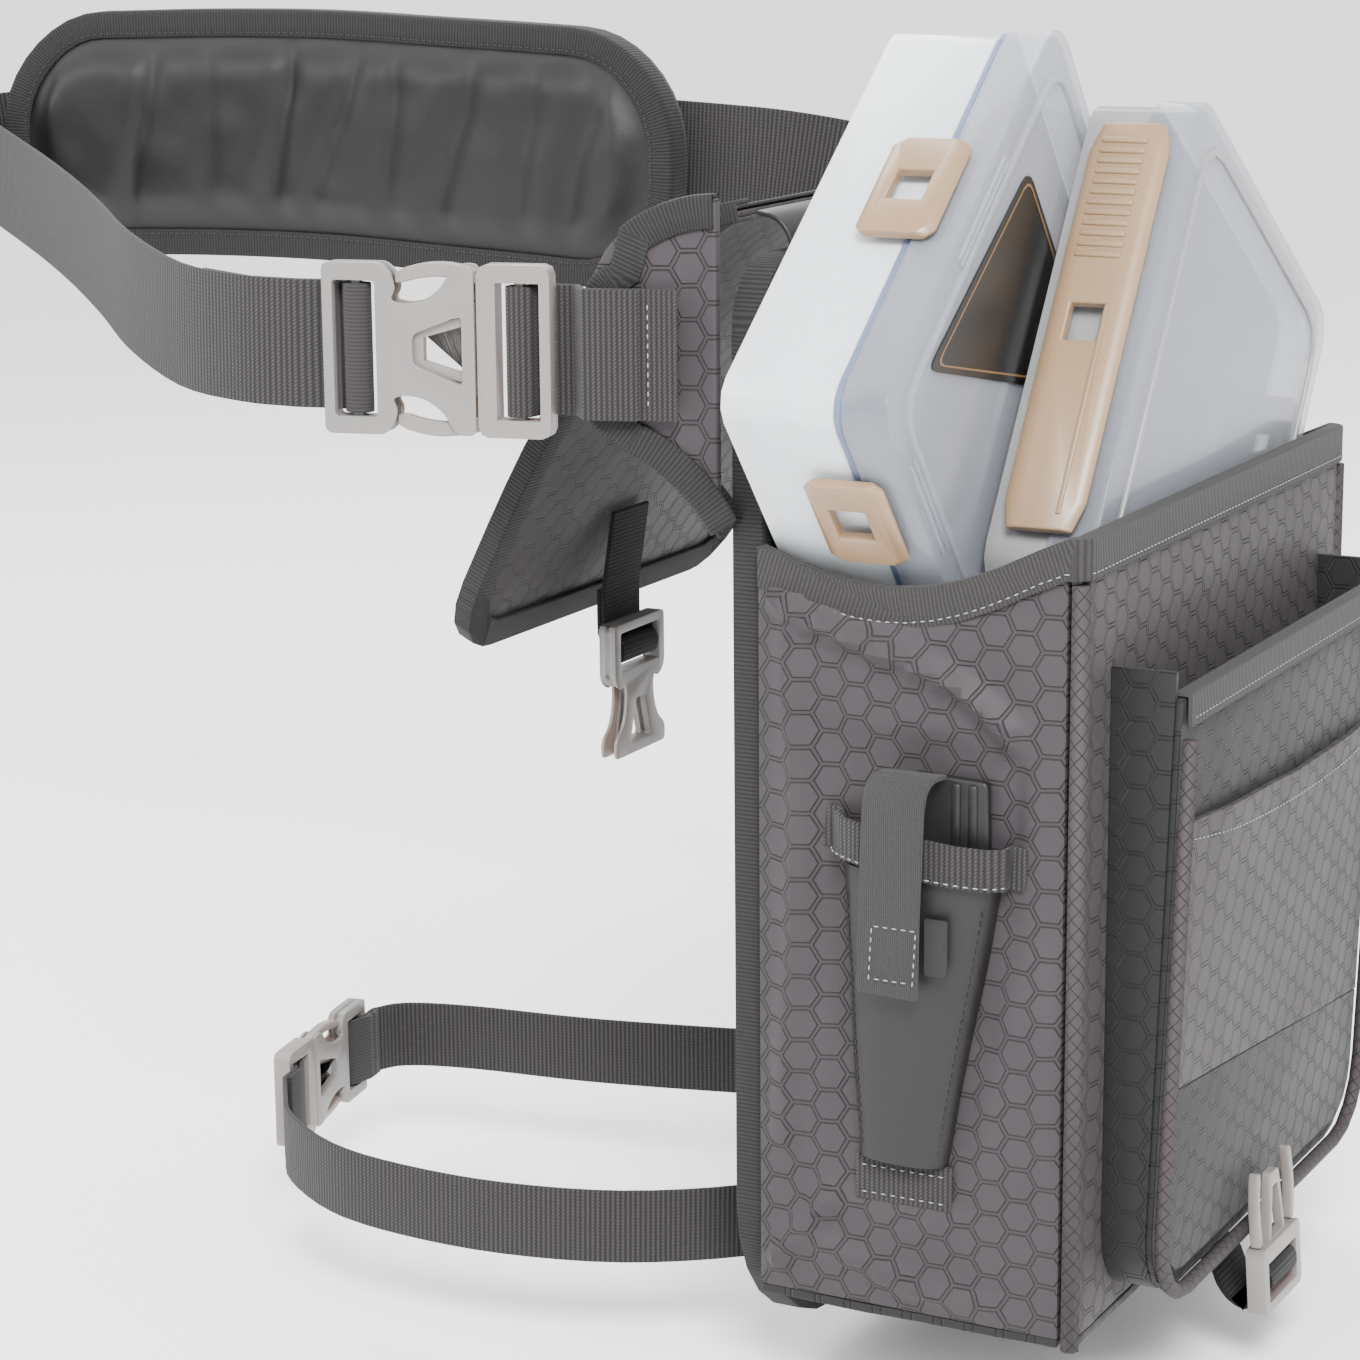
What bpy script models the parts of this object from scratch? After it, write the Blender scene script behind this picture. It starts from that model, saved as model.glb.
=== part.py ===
"""Fishing hip bag with a waist belt, a thigh strap and two tackle boxes standing in its mouth.

Frame: metres. The origin is the middle of the hip panel's rear face, +Y points to the wearer,
+Z is up, the tool holster is on the -X side and the front pocket faces -Y.
"""
import math

import bmesh
import bpy
from mathutils import Matrix, Vector

# ---------------------------------------------------------------- driving sizes
GAP = 0.0003              # clearance between touching pieces
BASE = -0.150             # height of the bag's underside below the hip mount

BODY_WIDTH = 0.240
BODY_DEPTH = 0.106
BODY_HEIGHT = 0.250
RIM_DROP = 0.010          # the rim is lower at the hip panel than at the front
RIM_SAG = 0.014           # the side walls' rims are pressed down in the middle
RIM_WRAP = 0.011          # how far the rim's tape reaches down
WALL = 0.003
PIPING = 0.006            # diameter of the corded seams
BINDING = 0.0012          # thickness of the edge tape
BINDING_WRAP = 0.009      # how far the tape reaches over an edge

HIP_WIDTH = 0.230
HIP_BELOW = 0.022         # the hip panel hangs below the bag's underside
HIP_TOP = 0.326           # and stands above it to here
HIP_COVER = 0.002
HIP_FOAM = 0.0070
HIP_CORNER = 0.050
HIP_PROUD = 0.0020        # the foam's middle stands proud of its taped edge
HIP_PROUD_INSET = 0.0105

WAIST_WEB = 0.040
THIGH_WEB = 0.025
WEB = 0.0016              # thickness of every webbing
SMALL_STRETCH = 1.42      # the buckles for the narrow webbing are long for their width

LID_HALF = 0.097
LID_SHELL = 0.002
LID_LINING = 0.0015
LID_CORNER = 0.026

POCKET_WIDTH = 0.196
POCKET_LOW = 0.008
POCKET_HIGH = 0.210
POCKET_DEPTH_LOW = 0.016
POCKET_DEPTH_HIGH = 0.023
POCKET_SKIN = 0.002

HOLSTER_TOP = 0.148
HOLSTER_LOW = 0.0535
HOLSTER_HALF_TOP = 0.026
HOLSTER_HALF_LOW = 0.0145
HOLSTER_SKIN = 0.0015
HOLSTER_LEAN = 0.0065     # its foot is nearer to the hip panel than its mouth

BOX_WALL = 0.0016
BOX_CORNER = 0.012
DEEP_BOX = dict(long=0.228, short=0.169, thick=0.055, lid=0.018)
SLIM_BOX = dict(long=0.160, short=0.168, thick=0.036, lid=0.016)

# ---------------------------------------------------------------- worked out from them
HIP_THICK = HIP_COVER + HIP_FOAM + GAP
BACK = -(HIP_THICK + BINDING + 2 * GAP)          # rear edge of the bag's walls
FRONT = BACK - BODY_DEPTH                        # outer face of the front panel
SIDE = BODY_WIDTH / 2                            # outer face of a side wall

FABRIC = (0.44, 0.42, 0.43)
DARK_FABRIC = (0.10, 0.10, 0.10)
TAPE = (0.16, 0.16, 0.16)
CORD = (0.30, 0.26, 0.28)
WEBBING = (0.17, 0.16, 0.17)
DARK_WEBBING = (0.06, 0.06, 0.06)
FOAM = (0.07, 0.07, 0.07)
BUCKLE = (0.60, 0.58, 0.56)
LATCH = (0.62, 0.48, 0.35)
CLEAR = (0.86, 0.87, 0.88)
SEAL = (0.30, 0.33, 0.40)
SLEEVE = (0.12, 0.11, 0.12)


def clear_scene():
    for obj in list(bpy.data.objects):
        bpy.data.objects.remove(obj, do_unlink=True)


# ---------------------------------------------------------------- making objects
def finish(obj, colour, roughness=0.7, metallic=0.0):
    """Gives the object a material of its own."""
    material = bpy.data.materials.new(obj.name)
    material.use_nodes = True
    shader = material.node_tree.nodes["Principled BSDF"]
    shader.inputs["Base Color"].default_value = (*colour, 1.0)
    shader.inputs["Roughness"].default_value = roughness
    shader.inputs["Metallic"].default_value = metallic
    obj.data.materials.clear()
    obj.data.materials.append(material)


def make(name, bm, colour, parent=None, roughness=0.7):
    """Turns a closed bmesh into an object. Its points are in the parent's frame."""
    bmesh.ops.remove_doubles(bm, verts=bm.verts, dist=0.000001)
    bmesh.ops.recalc_face_normals(bm, faces=bm.faces)
    mesh = bpy.data.meshes.new(name)
    bm.to_mesh(mesh)
    bm.free()
    obj = bpy.data.objects.new(name, mesh)
    bpy.context.scene.collection.objects.link(obj)
    obj.parent = parent
    mesh.shade_smooth()
    mesh.set_sharp_from_angle(angle=math.radians(35))
    finish(obj, colour, roughness)
    return obj


def pivot(name, place, turn=0.0, parent=None):
    """An empty on a joint's axis, turned about Y."""
    empty = bpy.data.objects.new(name, None)
    empty.empty_display_size = 0.02
    empty.location = place
    empty.rotation_euler = (0.0, turn, 0.0)
    empty.parent = parent
    bpy.context.scene.collection.objects.link(empty)
    return empty


def place_of(parent):
    """Where an unturned parent stands in the part's frame."""
    place = Vector()
    while parent:
        place = place + parent.location
        parent = parent.parent
    return place


def loft(rings, closed=False):
    """A closed skin through rings of equal length: quads between them, and a cap at each end."""
    bm = bmesh.new()
    rows = [[bm.verts.new(point) for point in ring] for ring in rings]
    count = len(rows[0])
    pairs = list(zip(rows, rows[1:])) + ([(rows[-1], rows[0])] if closed else [])
    for low, high in pairs:
        for i in range(count):
            j = (i + 1) % count
            bm.faces.new((low[i], low[j], high[j], high[i]))
    if not closed:
        bm.faces.new(list(reversed(rows[0])))
        bm.faces.new(rows[-1])
    return bm


def prism(outline, low, high, axis="Z"):
    """A flat outline pushed along an axis. The outline's points are (a, b) in the other two."""
    def place(a, b, c):
        return {"X": (c, a, b), "Y": (a, c, b), "Z": (a, b, c)}[axis]
    return loft([[place(a, b, c) for a, b in outline] for c in (low, high)])


def arc(centre, radius, start, end, steps):
    """Points on a round corner, from angle start to angle end in degrees."""
    turns = [math.radians(start + (end - start) * i / steps) for i in range(steps + 1)]
    return [(centre[0] + radius * math.cos(t), centre[1] + radius * math.sin(t)) for t in turns]


def rounded(left, right, low, high, radii, steps=5):
    """A rectangle with a radius for each corner: lower right, upper right, upper left, lower left."""
    corners = [(right, low, 270), (right, high, 0), (left, high, 90), (left, low, 180)]
    points = []
    for (x, y, start), radius in zip(corners, radii):
        if radius == 0:
            points.append((x, y))
            continue
        inward_x = x - radius if x == right else x + radius
        inward_y = y + radius if y == low else y - radius
        points += arc((inward_x, inward_y), radius, start, start + 90, steps)
    return points


def smooth(points, steps):
    """A Catmull-Rom curve through the points."""
    points = [Vector(p) for p in points]
    ends = [2 * points[0] - points[1]] + points + [2 * points[-1] - points[-2]]
    curve = []
    for a, b, c, d in zip(ends, ends[1:], ends[2:], ends[3:]):
        for i in range(steps):
            t = i / steps
            curve.append(0.5 * ((2 * b) + (c - a) * t + (2 * a - 5 * b + 4 * c - d) * t * t
                                + (3 * b - a - 3 * c + d) * t ** 3))
    return curve + [points[-1]]


def tangents(path, closed=False):
    count = len(path)
    found = []
    for i in range(count):
        before = path[i - 1] if i or closed else path[i]
        after = path[(i + 1) % count] if i < count - 1 or closed else path[i]
        found.append((after - before).normalized())
    return found


def strap_rings(path, width, thick, across):
    """Rectangles along a path, wide along `across` and thin at right angles to it."""
    rings = []
    for point, along in zip(path, tangents(path)):
        wide = (across - across.dot(along) * along).normalized()
        thin = wide.cross(along)
        rings.append([point + wide * (width / 2 * a) + thin * (thick / 2 * b)
                      for a, b in ((-1, -1), (1, -1), (1, 1), (-1, 1))])
    return rings


def strap(name, path, width, colour=WEBBING, parent=None, across=(0, 0, 1), thick=WEB):
    return make(name, loft(strap_rings(path, width, thick, Vector(across))), colour, parent, 0.85)


def tape(name, edge, outwards, normals, sheet, colour=TAPE, closed=False, wrap=BINDING_WRAP,
         parent=None):
    """Edge tape: a U-shaped strip folded over the edge of a sheet of that thickness."""
    inner = sheet / 2 + GAP
    outer = inner + BINDING
    section = [(GAP + BINDING, -outer), (GAP + BINDING, outer), (-wrap, outer), (-wrap, inner),
               (GAP, inner), (GAP, -inner), (-wrap, -inner), (-wrap, -outer)]
    rings = [[point + out * a + normal * b for a, b in section]
             for point, out, normal in zip(edge, outwards, normals)]
    return make(name, loft(rings, closed), colour, parent, 0.9)


def flat_tape(name, outline, middle, sheet, closed=True, **more):
    """Edge tape round an outline in an XZ plane, given as (x, z), anticlockwise."""
    edge = [Vector((x, middle, z)) for x, z in outline]
    across = Vector((0, 1, 0))
    outwards = [along.cross(across) * -1 for along in tangents(edge, closed)]
    centre = sum(edge, Vector()) / len(edge)
    if sum((p - centre).dot(o) for p, o in zip(edge, outwards)) < 0:
        outwards = [-o for o in outwards]
    return tape(name, edge, outwards, [across] * len(edge), sheet, closed=closed, **more)


def cord(name, points, diameter, colour=CORD):
    """A corded seam: a round curve with filled ends."""
    curve = bpy.data.curves.new(name, "CURVE")
    curve.dimensions = "3D"
    curve.bevel_depth = diameter / 2
    curve.bevel_resolution = 2
    curve.use_fill_caps = True
    spline = curve.splines.new("POLY")
    spline.points.add(len(points) - 1)
    for slot, point in zip(spline.points, points):
        slot.co = (*point, 1.0)
    obj = bpy.data.objects.new(name, curve)
    bpy.context.scene.collection.objects.link(obj)
    finish(obj, colour)
    return obj


def cut(obj, cutter):
    """Takes the cutter's shape away from the object."""
    cutter.hide_render = True
    cutter.display_type = "WIRE"
    step = obj.modifiers.new("cut", "BOOLEAN")
    step.operation = "DIFFERENCE"
    step.object = cutter


def unite(obj, other):
    """Adds a helper's shape to the object."""
    other.hide_render = True
    other.display_type = "WIRE"
    step = obj.modifiers.new("join", "BOOLEAN")
    step.operation = "UNION"
    step.object = other


# ---------------------------------------------------------------- the bag's body
def rim_height(y):
    """Height of a side wall's rim above the bag's underside, at a depth."""
    level = 0.007
    share = max(0.0, (y - FRONT - level) / (BODY_DEPTH - level))
    return BODY_HEIGHT - RIM_DROP * share - RIM_SAG * math.sin(math.pi * share)


def side_panels():
    seam = PIPING / 2 + 2 * GAP
    front = FRONT + seam + WALL / 2
    steps = 14
    depths = [front + (BACK - front) * i / steps for i in range(steps + 1)]
    low = BASE + WALL + GAP
    outline = [(depths[0], low), (BACK, low)]
    outline += [(y, BASE + rim_height(y)) for y in reversed(depths)]
    for name, sign in (("side_panel_left", -1), ("side_panel_right", 1)):
        faces = sorted((sign * SIDE, sign * (SIDE - WALL)))
        make(name, prism(outline, *faces, axis="X"), FABRIC)


def front_panel():
    seam = PIPING / 2 + 2 * GAP
    half = SIDE - seam - WALL / 2
    outline = [(-half, BASE + WALL + GAP), (half, BASE + WALL + GAP),
               (half, BASE + BODY_HEIGHT), (-half, BASE + BODY_HEIGHT)]
    make("front_panel", prism(outline, FRONT, FRONT + WALL, axis="Y"), FABRIC)


def bottom_panel():
    seam = PIPING / 2 + 2 * GAP + WALL / 2
    outline = [(-SIDE, BACK), (-SIDE, FRONT + seam), (-SIDE + seam, FRONT + seam),
               (-SIDE + seam, FRONT), (SIDE - seam, FRONT), (SIDE - seam, FRONT + seam),
               (SIDE, FRONT + seam), (SIDE, BACK)]
    make("bottom_panel", prism(outline, BASE, BASE + WALL), DARK_FABRIC)


def body_piping():
    """One cord up each front corner. The rim's tape covers their tops."""
    top = BASE + BODY_HEIGHT - RIM_WRAP - 0.001
    for name, sign in (("piping_left", -1), ("piping_right", 1)):
        x = sign * (SIDE - WALL / 2)
        cord(name, [(x, FRONT + WALL / 2, z) for z in (BASE, (BASE + top) / 2, top)], PIPING)


def rim_tape():
    """One tape over the tops of the side walls and of the front panel."""
    turn = PIPING / 2 + 2 * GAP
    x, y = SIDE - WALL / 2, FRONT + WALL / 2
    back = BACK - GAP
    steps = 9
    depths = [back + (y + turn - back) * i / steps for i in range(steps)]
    left = [(-x, d) for d in depths] + arc((-x + turn, y + turn), turn, 180, 270, 4)
    path = left + [(0, y)] + [(-a, b) for a, b in reversed(left)]
    edge = [Vector((a, b, BASE + rim_height(b) + GAP)) for a, b in path]
    up = Vector((0, 0, 1))
    normals = [up.cross(t).normalized() for t in tangents(edge)]
    tape("rim_tape", edge, [up] * len(edge), normals, WALL, wrap=RIM_WRAP)


def hip_panel():
    """A foam board towards the wearer and a cover over it, with tape round the edge."""
    half = HIP_WIDTH / 2
    low, high = BASE - HIP_BELOW, BASE + HIP_TOP
    outline = rounded(-half, half, low, high, (HIP_CORNER, 0.020, 0.020, HIP_CORNER), 6)
    inset = HIP_PROUD_INSET
    proud = rounded(inset - half, half - inset, low + inset, high - inset,
                    (HIP_CORNER - inset, 0.020 - inset, 0.020 - inset, HIP_CORNER - inset), 6)
    levels = [(outline, -HIP_FOAM), (outline, -HIP_PROUD), (proud, -HIP_PROUD), (proud, 0.0)]
    make("hip_foam", loft([[(x, y, z) for x, z in line] for line, y in levels]), FOAM)
    rear = -HIP_FOAM - GAP
    make("hip_cover", prism(outline, rear - HIP_COVER, rear, axis="Y"), FABRIC)
    flat_tape("hip_tape", outline, -(HIP_THICK + HIP_PROUD) / 2, HIP_THICK - HIP_PROUD)


# ---------------------------------------------------------------- the lid
LID_LINE = [(0.0068, 0.3400), (0.0160, 0.3370), (0.0320, 0.3245), (0.0520, 0.3020),
            (0.0810, 0.2600), (0.1160, 0.1920)]       # (y, height above the underside)
LID_HINGE = Vector((0, 0.0044, BASE + 0.3402))


def lid_path(steps=5):
    return smooth([(0, y, BASE + z) for y, z in LID_LINE], steps)


def lid_half(left):
    """Half the lid's width where `left` of its length is still to come: its corners are round."""
    if left >= LID_CORNER:
        return LID_HALF
    return LID_HALF - LID_CORNER + math.sqrt(LID_CORNER ** 2 - (LID_CORNER - left) ** 2)


def lid_stations():
    """(point, normal, half width) down the lid, closer together in its rounded end."""
    path = lid_path()
    runs = [0.0]
    for a, b in zip(path, path[1:]):
        runs.append(runs[-1] + (b - a).length)
    total = runs[-1]
    wanted = [s for s in runs if total - s > LID_CORNER]
    wanted += [total - LID_CORNER * (1 - math.sin(math.radians(a))) for a in (0, 20, 40, 60, 78)]
    wanted += [total]
    stations = []
    for s in wanted:
        i = max(k for k in range(len(runs) - 1) if runs[k] <= s)
        share = (s - runs[i]) / (runs[i + 1] - runs[i])
        along = (path[i + 1] - path[i]).normalized()
        normal = Vector((1, 0, 0)).cross(along)
        stations.append((path[i].lerp(path[i + 1], share), normal, lid_half(total - s), along))
    return stations


def lid_layer(name, low, high, colour, hinge):
    rings = []
    for point, normal, half, along in lid_stations():
        centre = point - LID_HINGE
        rings.append([centre + Vector((half * a, 0, 0)) + normal * b
                      for a, b in ((-1, low), (1, low), (1, high), (-1, high))])
    make(name, loft(rings), colour, hinge)


def lid():
    """The static root up the hip panel, then the part that swings about the ridge."""
    step = WEB / 2 + GAP
    front = BACK - step
    root = [(front, 0.252), (front, 0.300), (front, 0.322), (front + 0.0015, 0.3320),
            (front + 0.0060, 0.3380), (0.0006, 0.3398)]
    path = smooth([(0, y, BASE + z) for y, z in root], 3)
    strap("lid_root", path, 2 * LID_HALF, SLEEVE, across=(1, 0, 0))
    hinge = pivot("lid_hinge", LID_HINGE)
    half = (LID_SHELL + LID_LINING + GAP) / 2
    lid_layer("lid_shell", -half, -half + LID_SHELL, FABRIC, hinge)
    lid_layer("lid_lining", half - LID_LINING, half, SLEEVE, hinge)
    stations = lid_stations()
    left = [(p - Vector((h, 0, 0)), n, t) for p, n, h, t in stations]
    right = [(p + Vector((h, 0, 0)), n, t) for p, n, h, t in reversed(stations)]
    edge = [p - LID_HINGE for p, n, t in left + right]
    normals = [n for p, n, t in left + right]
    outwards = []
    for along, normal in zip(tangents(edge), normals):
        outwards.append(-normal.cross(along).normalized())
    if outwards[0].x > 0:
        outwards = [-o for o in outwards]
    tape("lid_tape", edge, outwards, normals, 2 * half, parent=hinge)
    return hinge


# ---------------------------------------------------------------- belt wings
def wing(name, side, route, end_middle):
    """A stiff ear behind the hip panel's edge that carries the belt: it bends round the hip."""
    thick = 0.004
    path = smooth([(side * x, y, 0) for x, y in route], 6)
    runs = [0.0]
    for a, b in zip(path, path[1:]):
        runs.append(runs[-1] + (b - a).length)
    total = runs[-1]
    end_half, corner = WAIST_WEB / 2 + 0.0065, 0.012
    root_low, root_high = 0.242, 0.346

    def limits(s):
        share = s / total
        ease = math.sin(math.pi / 2 * share) ** 0.8
        low = root_low + (end_middle - end_half - root_low) * ease
        high = root_high + (end_middle + end_half - root_high) * share ** 2.2
        left = total - s
        if left < corner:
            trim = corner - math.sqrt(corner ** 2 - (corner - left) ** 2)
            return low + trim, high - trim
        return low, high

    wanted = [s for s in runs if total - s > corner]
    wanted += [total - corner * (1 - math.sin(math.radians(a))) for a in (0, 30, 60)] + [total]
    rings = []
    for s in wanted:
        i = max(k for k in range(len(runs) - 1) if runs[k] <= s)
        point = path[i].lerp(path[i + 1], (s - runs[i]) / (runs[i + 1] - runs[i]))
        normal = Vector((0, 0, 1)).cross((path[i + 1] - path[i]).normalized())
        low, high = (Vector((0, 0, BASE + z)) for z in limits(s))
        rings.append([point + low - normal * thick / 2, point + low + normal * thick / 2,
                      point + high + normal * thick / 2, point + high - normal * thick / 2])
    make(name, loft(rings), FABRIC)


# ---------------------------------------------------------------- side-release buckles
def buckle_frame(origin, along, face, stretch=1.0):
    """A matrix from buckle space to the part's frame: u along the belt, v its width, w outwards."""
    along = Vector(along).normalized()
    face = Vector(face)
    face = (face - face.dot(along) * along).normalized()
    wide = face.cross(along)
    turn = Matrix((along, wide, face)).transposed().to_4x4()
    return Matrix.Translation(origin) @ turn @ Matrix.Diagonal((stretch, 1, 1, 1))


def shaped(name, bm, frame, colour, parent=None):
    """Makes an object from a bmesh in buckle space."""
    bm.transform(Matrix.Translation(-place_of(parent)) @ frame)
    return make(name, bm, colour, parent, 0.4)


def slot_cutter(name, frame, u, v, thick, parent):
    return shaped(name, prism([(u[0], -v), (u[1], -v), (u[1], v), (u[0], v)], -thick, thick),
                  frame, BUCKLE, parent)


def buckle_sizes(web):
    """The buckle's plan, from the webbing's width. Lengths run from the male's outer end."""
    half = web / 2 + 0.0035 + 0.075 * web
    k = half / 0.0265
    return dict(half=half, k=k, thick=0.0040 + 0.0035 * k, frame=0.0205 * k, tip=0.0500 * k,
                mouth=0.0240 * k, neck=0.0515 * k, end=0.0730 * k, web=web)


def slots(size, start, sign):
    """Where the two slots beside a web bar lie, from a frame's outer end."""
    k = size["k"]
    first = (start + sign * 0.0034 * k, start + sign * 0.0088 * k)
    second = (start + sign * 0.0118 * k, start + sign * 0.0172 * k)
    return [tuple(sorted(first)), tuple(sorted(second))]


def thin_bar_cutters(name, frame, size, start, sign, parent):
    """Shaves both faces of the web bar, so that the webbing lies inside the frame's thickness."""
    k = size["k"]
    span = sorted((start + sign * 0.0080 * k, start + sign * 0.0126 * k))
    wide, bar, half = size["web"] / 2 + 0.0010, 0.0016, size["thick"]
    for label, low, high in (("front", bar, half), ("rear", -half, -bar)):
        outline = [(span[0], -wide), (span[1], -wide), (span[1], wide), (span[0], wide)]
        yield shaped(f"{name}_{label}", prism(outline, low, high), frame, BUCKLE, parent)


def buckle_male(name, web, frame, parent=None):
    """Frame with a web bar, and the A-shaped guide that runs into the other half."""
    size = buckle_sizes(web)
    k, half, thick = size["k"], size["half"], size["thick"]
    shoulder = 0.0232 * k
    outline = rounded(0, shoulder, -half, half, (0.003 * k,) * 4, 2)
    male = shaped(name, prism(outline, -thick / 2, thick / 2), frame, BUCKLE, parent)
    guide = [(0.018 * k, -0.0128 * k), (0.044 * k, -0.0062 * k), (0.046 * k, -0.0044 * k),
             (0.046 * k, 0.0044 * k), (0.044 * k, 0.0062 * k), (0.018 * k, 0.0128 * k)]
    unite(male, shaped(name + "_guide", prism(guide, -0.0016, 0.0016), frame, BUCKLE, parent))
    window = [(0.0236 * k, -0.0086 * k), (0.0236 * k, 0.0086 * k), (0.0410 * k, 0.0036 * k),
              (0.0410 * k, -0.0036 * k)]
    cut(male, shaped(name + "_window", prism(window, -thick, thick), frame, BUCKLE, parent))
    for i, span in enumerate(slots(size, 0.0, 1)):
        cut(male, slot_cutter(f"{name}_slot{i}", frame, span, web / 2 + 0.001, thick, parent))
    for helper in thin_bar_cutters(name + "_bar", frame, size, 0.0, 1, parent):
        cut(male, helper)
    return male


def buckle_female(name, web, frame, parent=None):
    """Frame with a web bar, and two hollow arms that take the guide."""
    size = buckle_sizes(web)
    k, half, thick = size["k"], size["half"], size["thick"]
    mouth, neck, end = size["mouth"] - 0.0005 * k, size["neck"], size["end"]
    half_outline = [(mouth, 0.0160 * k), (0.030 * k, 0.0145 * k), (0.044 * k, 0.0100 * k),
                    (neck, 0.0105 * k), (neck - 0.0010 * k, 0.018 * k),
                    (neck - 0.0012 * k, half - 0.004 * k), (neck + 0.002 * k, half),
                    (end - 0.003 * k, half), (end, half - 0.003 * k)]
    outline = half_outline + [(u, -v) for u, v in reversed(half_outline)]
    female = shaped(name, prism(outline, -thick / 2, thick / 2), frame, BUCKLE, parent)
    hole = [(mouth - 0.002 * k, -0.0094 * k), (mouth - 0.002 * k, 0.0094 * k),
            (0.0425 * k, 0.0042 * k), (0.0425 * k, -0.0042 * k)]
    cut(female, shaped(name + "_hole", prism(hole, -thick, thick), frame, BUCKLE, parent))
    room = [(mouth - 0.002 * k, -0.0134 * k), (0.0445 * k, -0.0070 * k), (0.0475 * k, -0.0050 * k),
            (0.0475 * k, 0.0050 * k), (0.0445 * k, 0.0070 * k), (mouth - 0.002 * k, 0.0134 * k)]
    cut(female, shaped(name + "_room", prism(room, -0.0020, 0.0020), frame, BUCKLE, parent))
    for i, span in enumerate(slots(size, end, -1)):
        cut(female, slot_cutter(f"{name}_slot{i}", frame, span, web / 2 + 0.001, thick, parent))
    for helper in thin_bar_cutters(name + "_bar", frame, size, end, -1, parent):
        cut(female, helper)
    return female


def prong_root(web, side):
    """Where a prong bends, in buckle space."""
    size = buckle_sizes(web)
    return Vector((size["frame"] + 0.0042 * size["k"], side * 0.0215 * size["k"], 0))


def buckle_prong(name, web, frame, side, parent=None):
    """A springy side arm of the male half, squeezed inwards to release the buckle."""
    size = buckle_sizes(web)
    k = size["k"]
    root = prong_root(web, side)
    place = frame @ root
    hinge = pivot(name + "_hinge", place - place_of(parent), parent=parent)
    steps = 9
    middle, widths = [], []
    for i in range(steps + 1):
        s = i / steps
        u = (0.0236 + (0.0496 - 0.0236) * s) * k
        v = (0.0212 + 0.0034 * math.sin(math.pi * (0.12 + 0.82 * s))) * k
        middle.append((u, v))
        widths.append((0.0022 if s < 0.9 else 0.0016) * k)
    outline = [(u, side * (v + w)) for (u, v), w in zip(middle, widths)]
    outline += [(u, side * (v - w)) for (u, v), w in reversed(list(zip(middle, widths)))]
    bm = prism(outline, -0.0026 * k, 0.0026 * k)
    bm.transform(Matrix.Translation(-place) @ frame)
    return make(name, bm, BUCKLE, hinge, 0.4)


def web_loop(web, frame, from_female, reach):
    """The webbing's way round a web bar: in behind the frame's end bar, round, and out again.

    It gives the points from the sewn-down end to the free side, `reach` beyond the frame.
    """
    size = buckle_sizes(web)
    k, thick = size["k"], size["thick"]
    start = size["end"] if from_female else 0.0
    sign = -1 if from_female else 1
    bar = 0.0016 + GAP + WEB / 2 + 0.0002
    rear = -(thick / 2 + GAP + WEB / 2)
    lower = rear - WEB - GAP
    way = [(-reach, lower), (-reach * 0.5, lower), (0.0, lower), (0.0045 * k, lower + 0.0002),
           (0.0090 * k, -bar - 0.0010), (0.0118 * k, -bar), (0.0137 * k, -bar * 0.55),
           (0.0142 * k, 0.0), (0.0135 * k, bar * 0.75), (0.0116 * k, bar), (0.0092 * k, bar),
           (0.0073 * k, bar * 0.60), (0.0064 * k, -0.0004), (0.0052 * k, rear * 0.75),
           (0.0030 * k, rear), (0.0, rear), (-reach * 0.5, rear), (-reach, rear)]
    return [frame @ Vector((start + sign * u, 0, w)) for u, w in way]


# ---------------------------------------------------------------- waist belt
WAIST_ALONG = Vector((-0.233, 0.972, 0)).normalized()
WAIST_ORIGIN = Vector((-0.1345, 0.0510, BASE + 0.299))
WAIST_FACE = (-0.972, -0.233, 0)
WAIST_FRAME = buckle_frame(WAIST_ORIGIN, WAIST_ALONG, WAIST_FACE)
WING_ROUTE = [(0.1190, 0.0022), (0.1200, 0.0100), (0.1240, 0.0240), (0.1290, 0.0420)]
WING_LEFT_MIDDLE = 0.299
WING_RIGHT_MIDDLE = 0.318

BELT_ROUTE = [(-0.150, 0.155, 0.2995), (-0.139, 0.186, 0.301), (-0.106, 0.230, 0.306),
              (-0.060, 0.276, 0.310), (-0.018, 0.320, 0.314), (0.020, 0.363, 0.318),
              (0.046, 0.396, 0.322), (0.066, 0.424, 0.327), (0.084, 0.4405, 0.332),
              (0.0970, 0.4425, 0.334), (0.1036, 0.4330, 0.335), (0.1086, 0.4200, 0.336)]
PAD_ROUTE = [(0.0930, 0.4340, 0.335), (0.1035, 0.4080, 0.338), (0.109, 0.3800, 0.339),
             (0.112, 0.340, 0.340), (0.113, 0.290, 0.340), (0.112, 0.240, 0.338),
             (0.110, 0.190, 0.336), (0.108, 0.137, 0.333)]
FAR_ROUTE = [(0.113, 0.160, 0.3375), (0.1115, 0.125, 0.336), (0.113, 0.098, 0.334),
             (0.121, 0.070, 0.329), (0.131, 0.046, 0.322), (0.1285, 0.024, 0.319),
             (0.1245, 0.012, 0.318)]
PAD_HEIGHT = 0.094
PAD_CORNER = 0.042
PAD_FOAM = 0.0075
PAD_COVER = 0.002
WAIST_TRAVEL = 0.034


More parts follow.
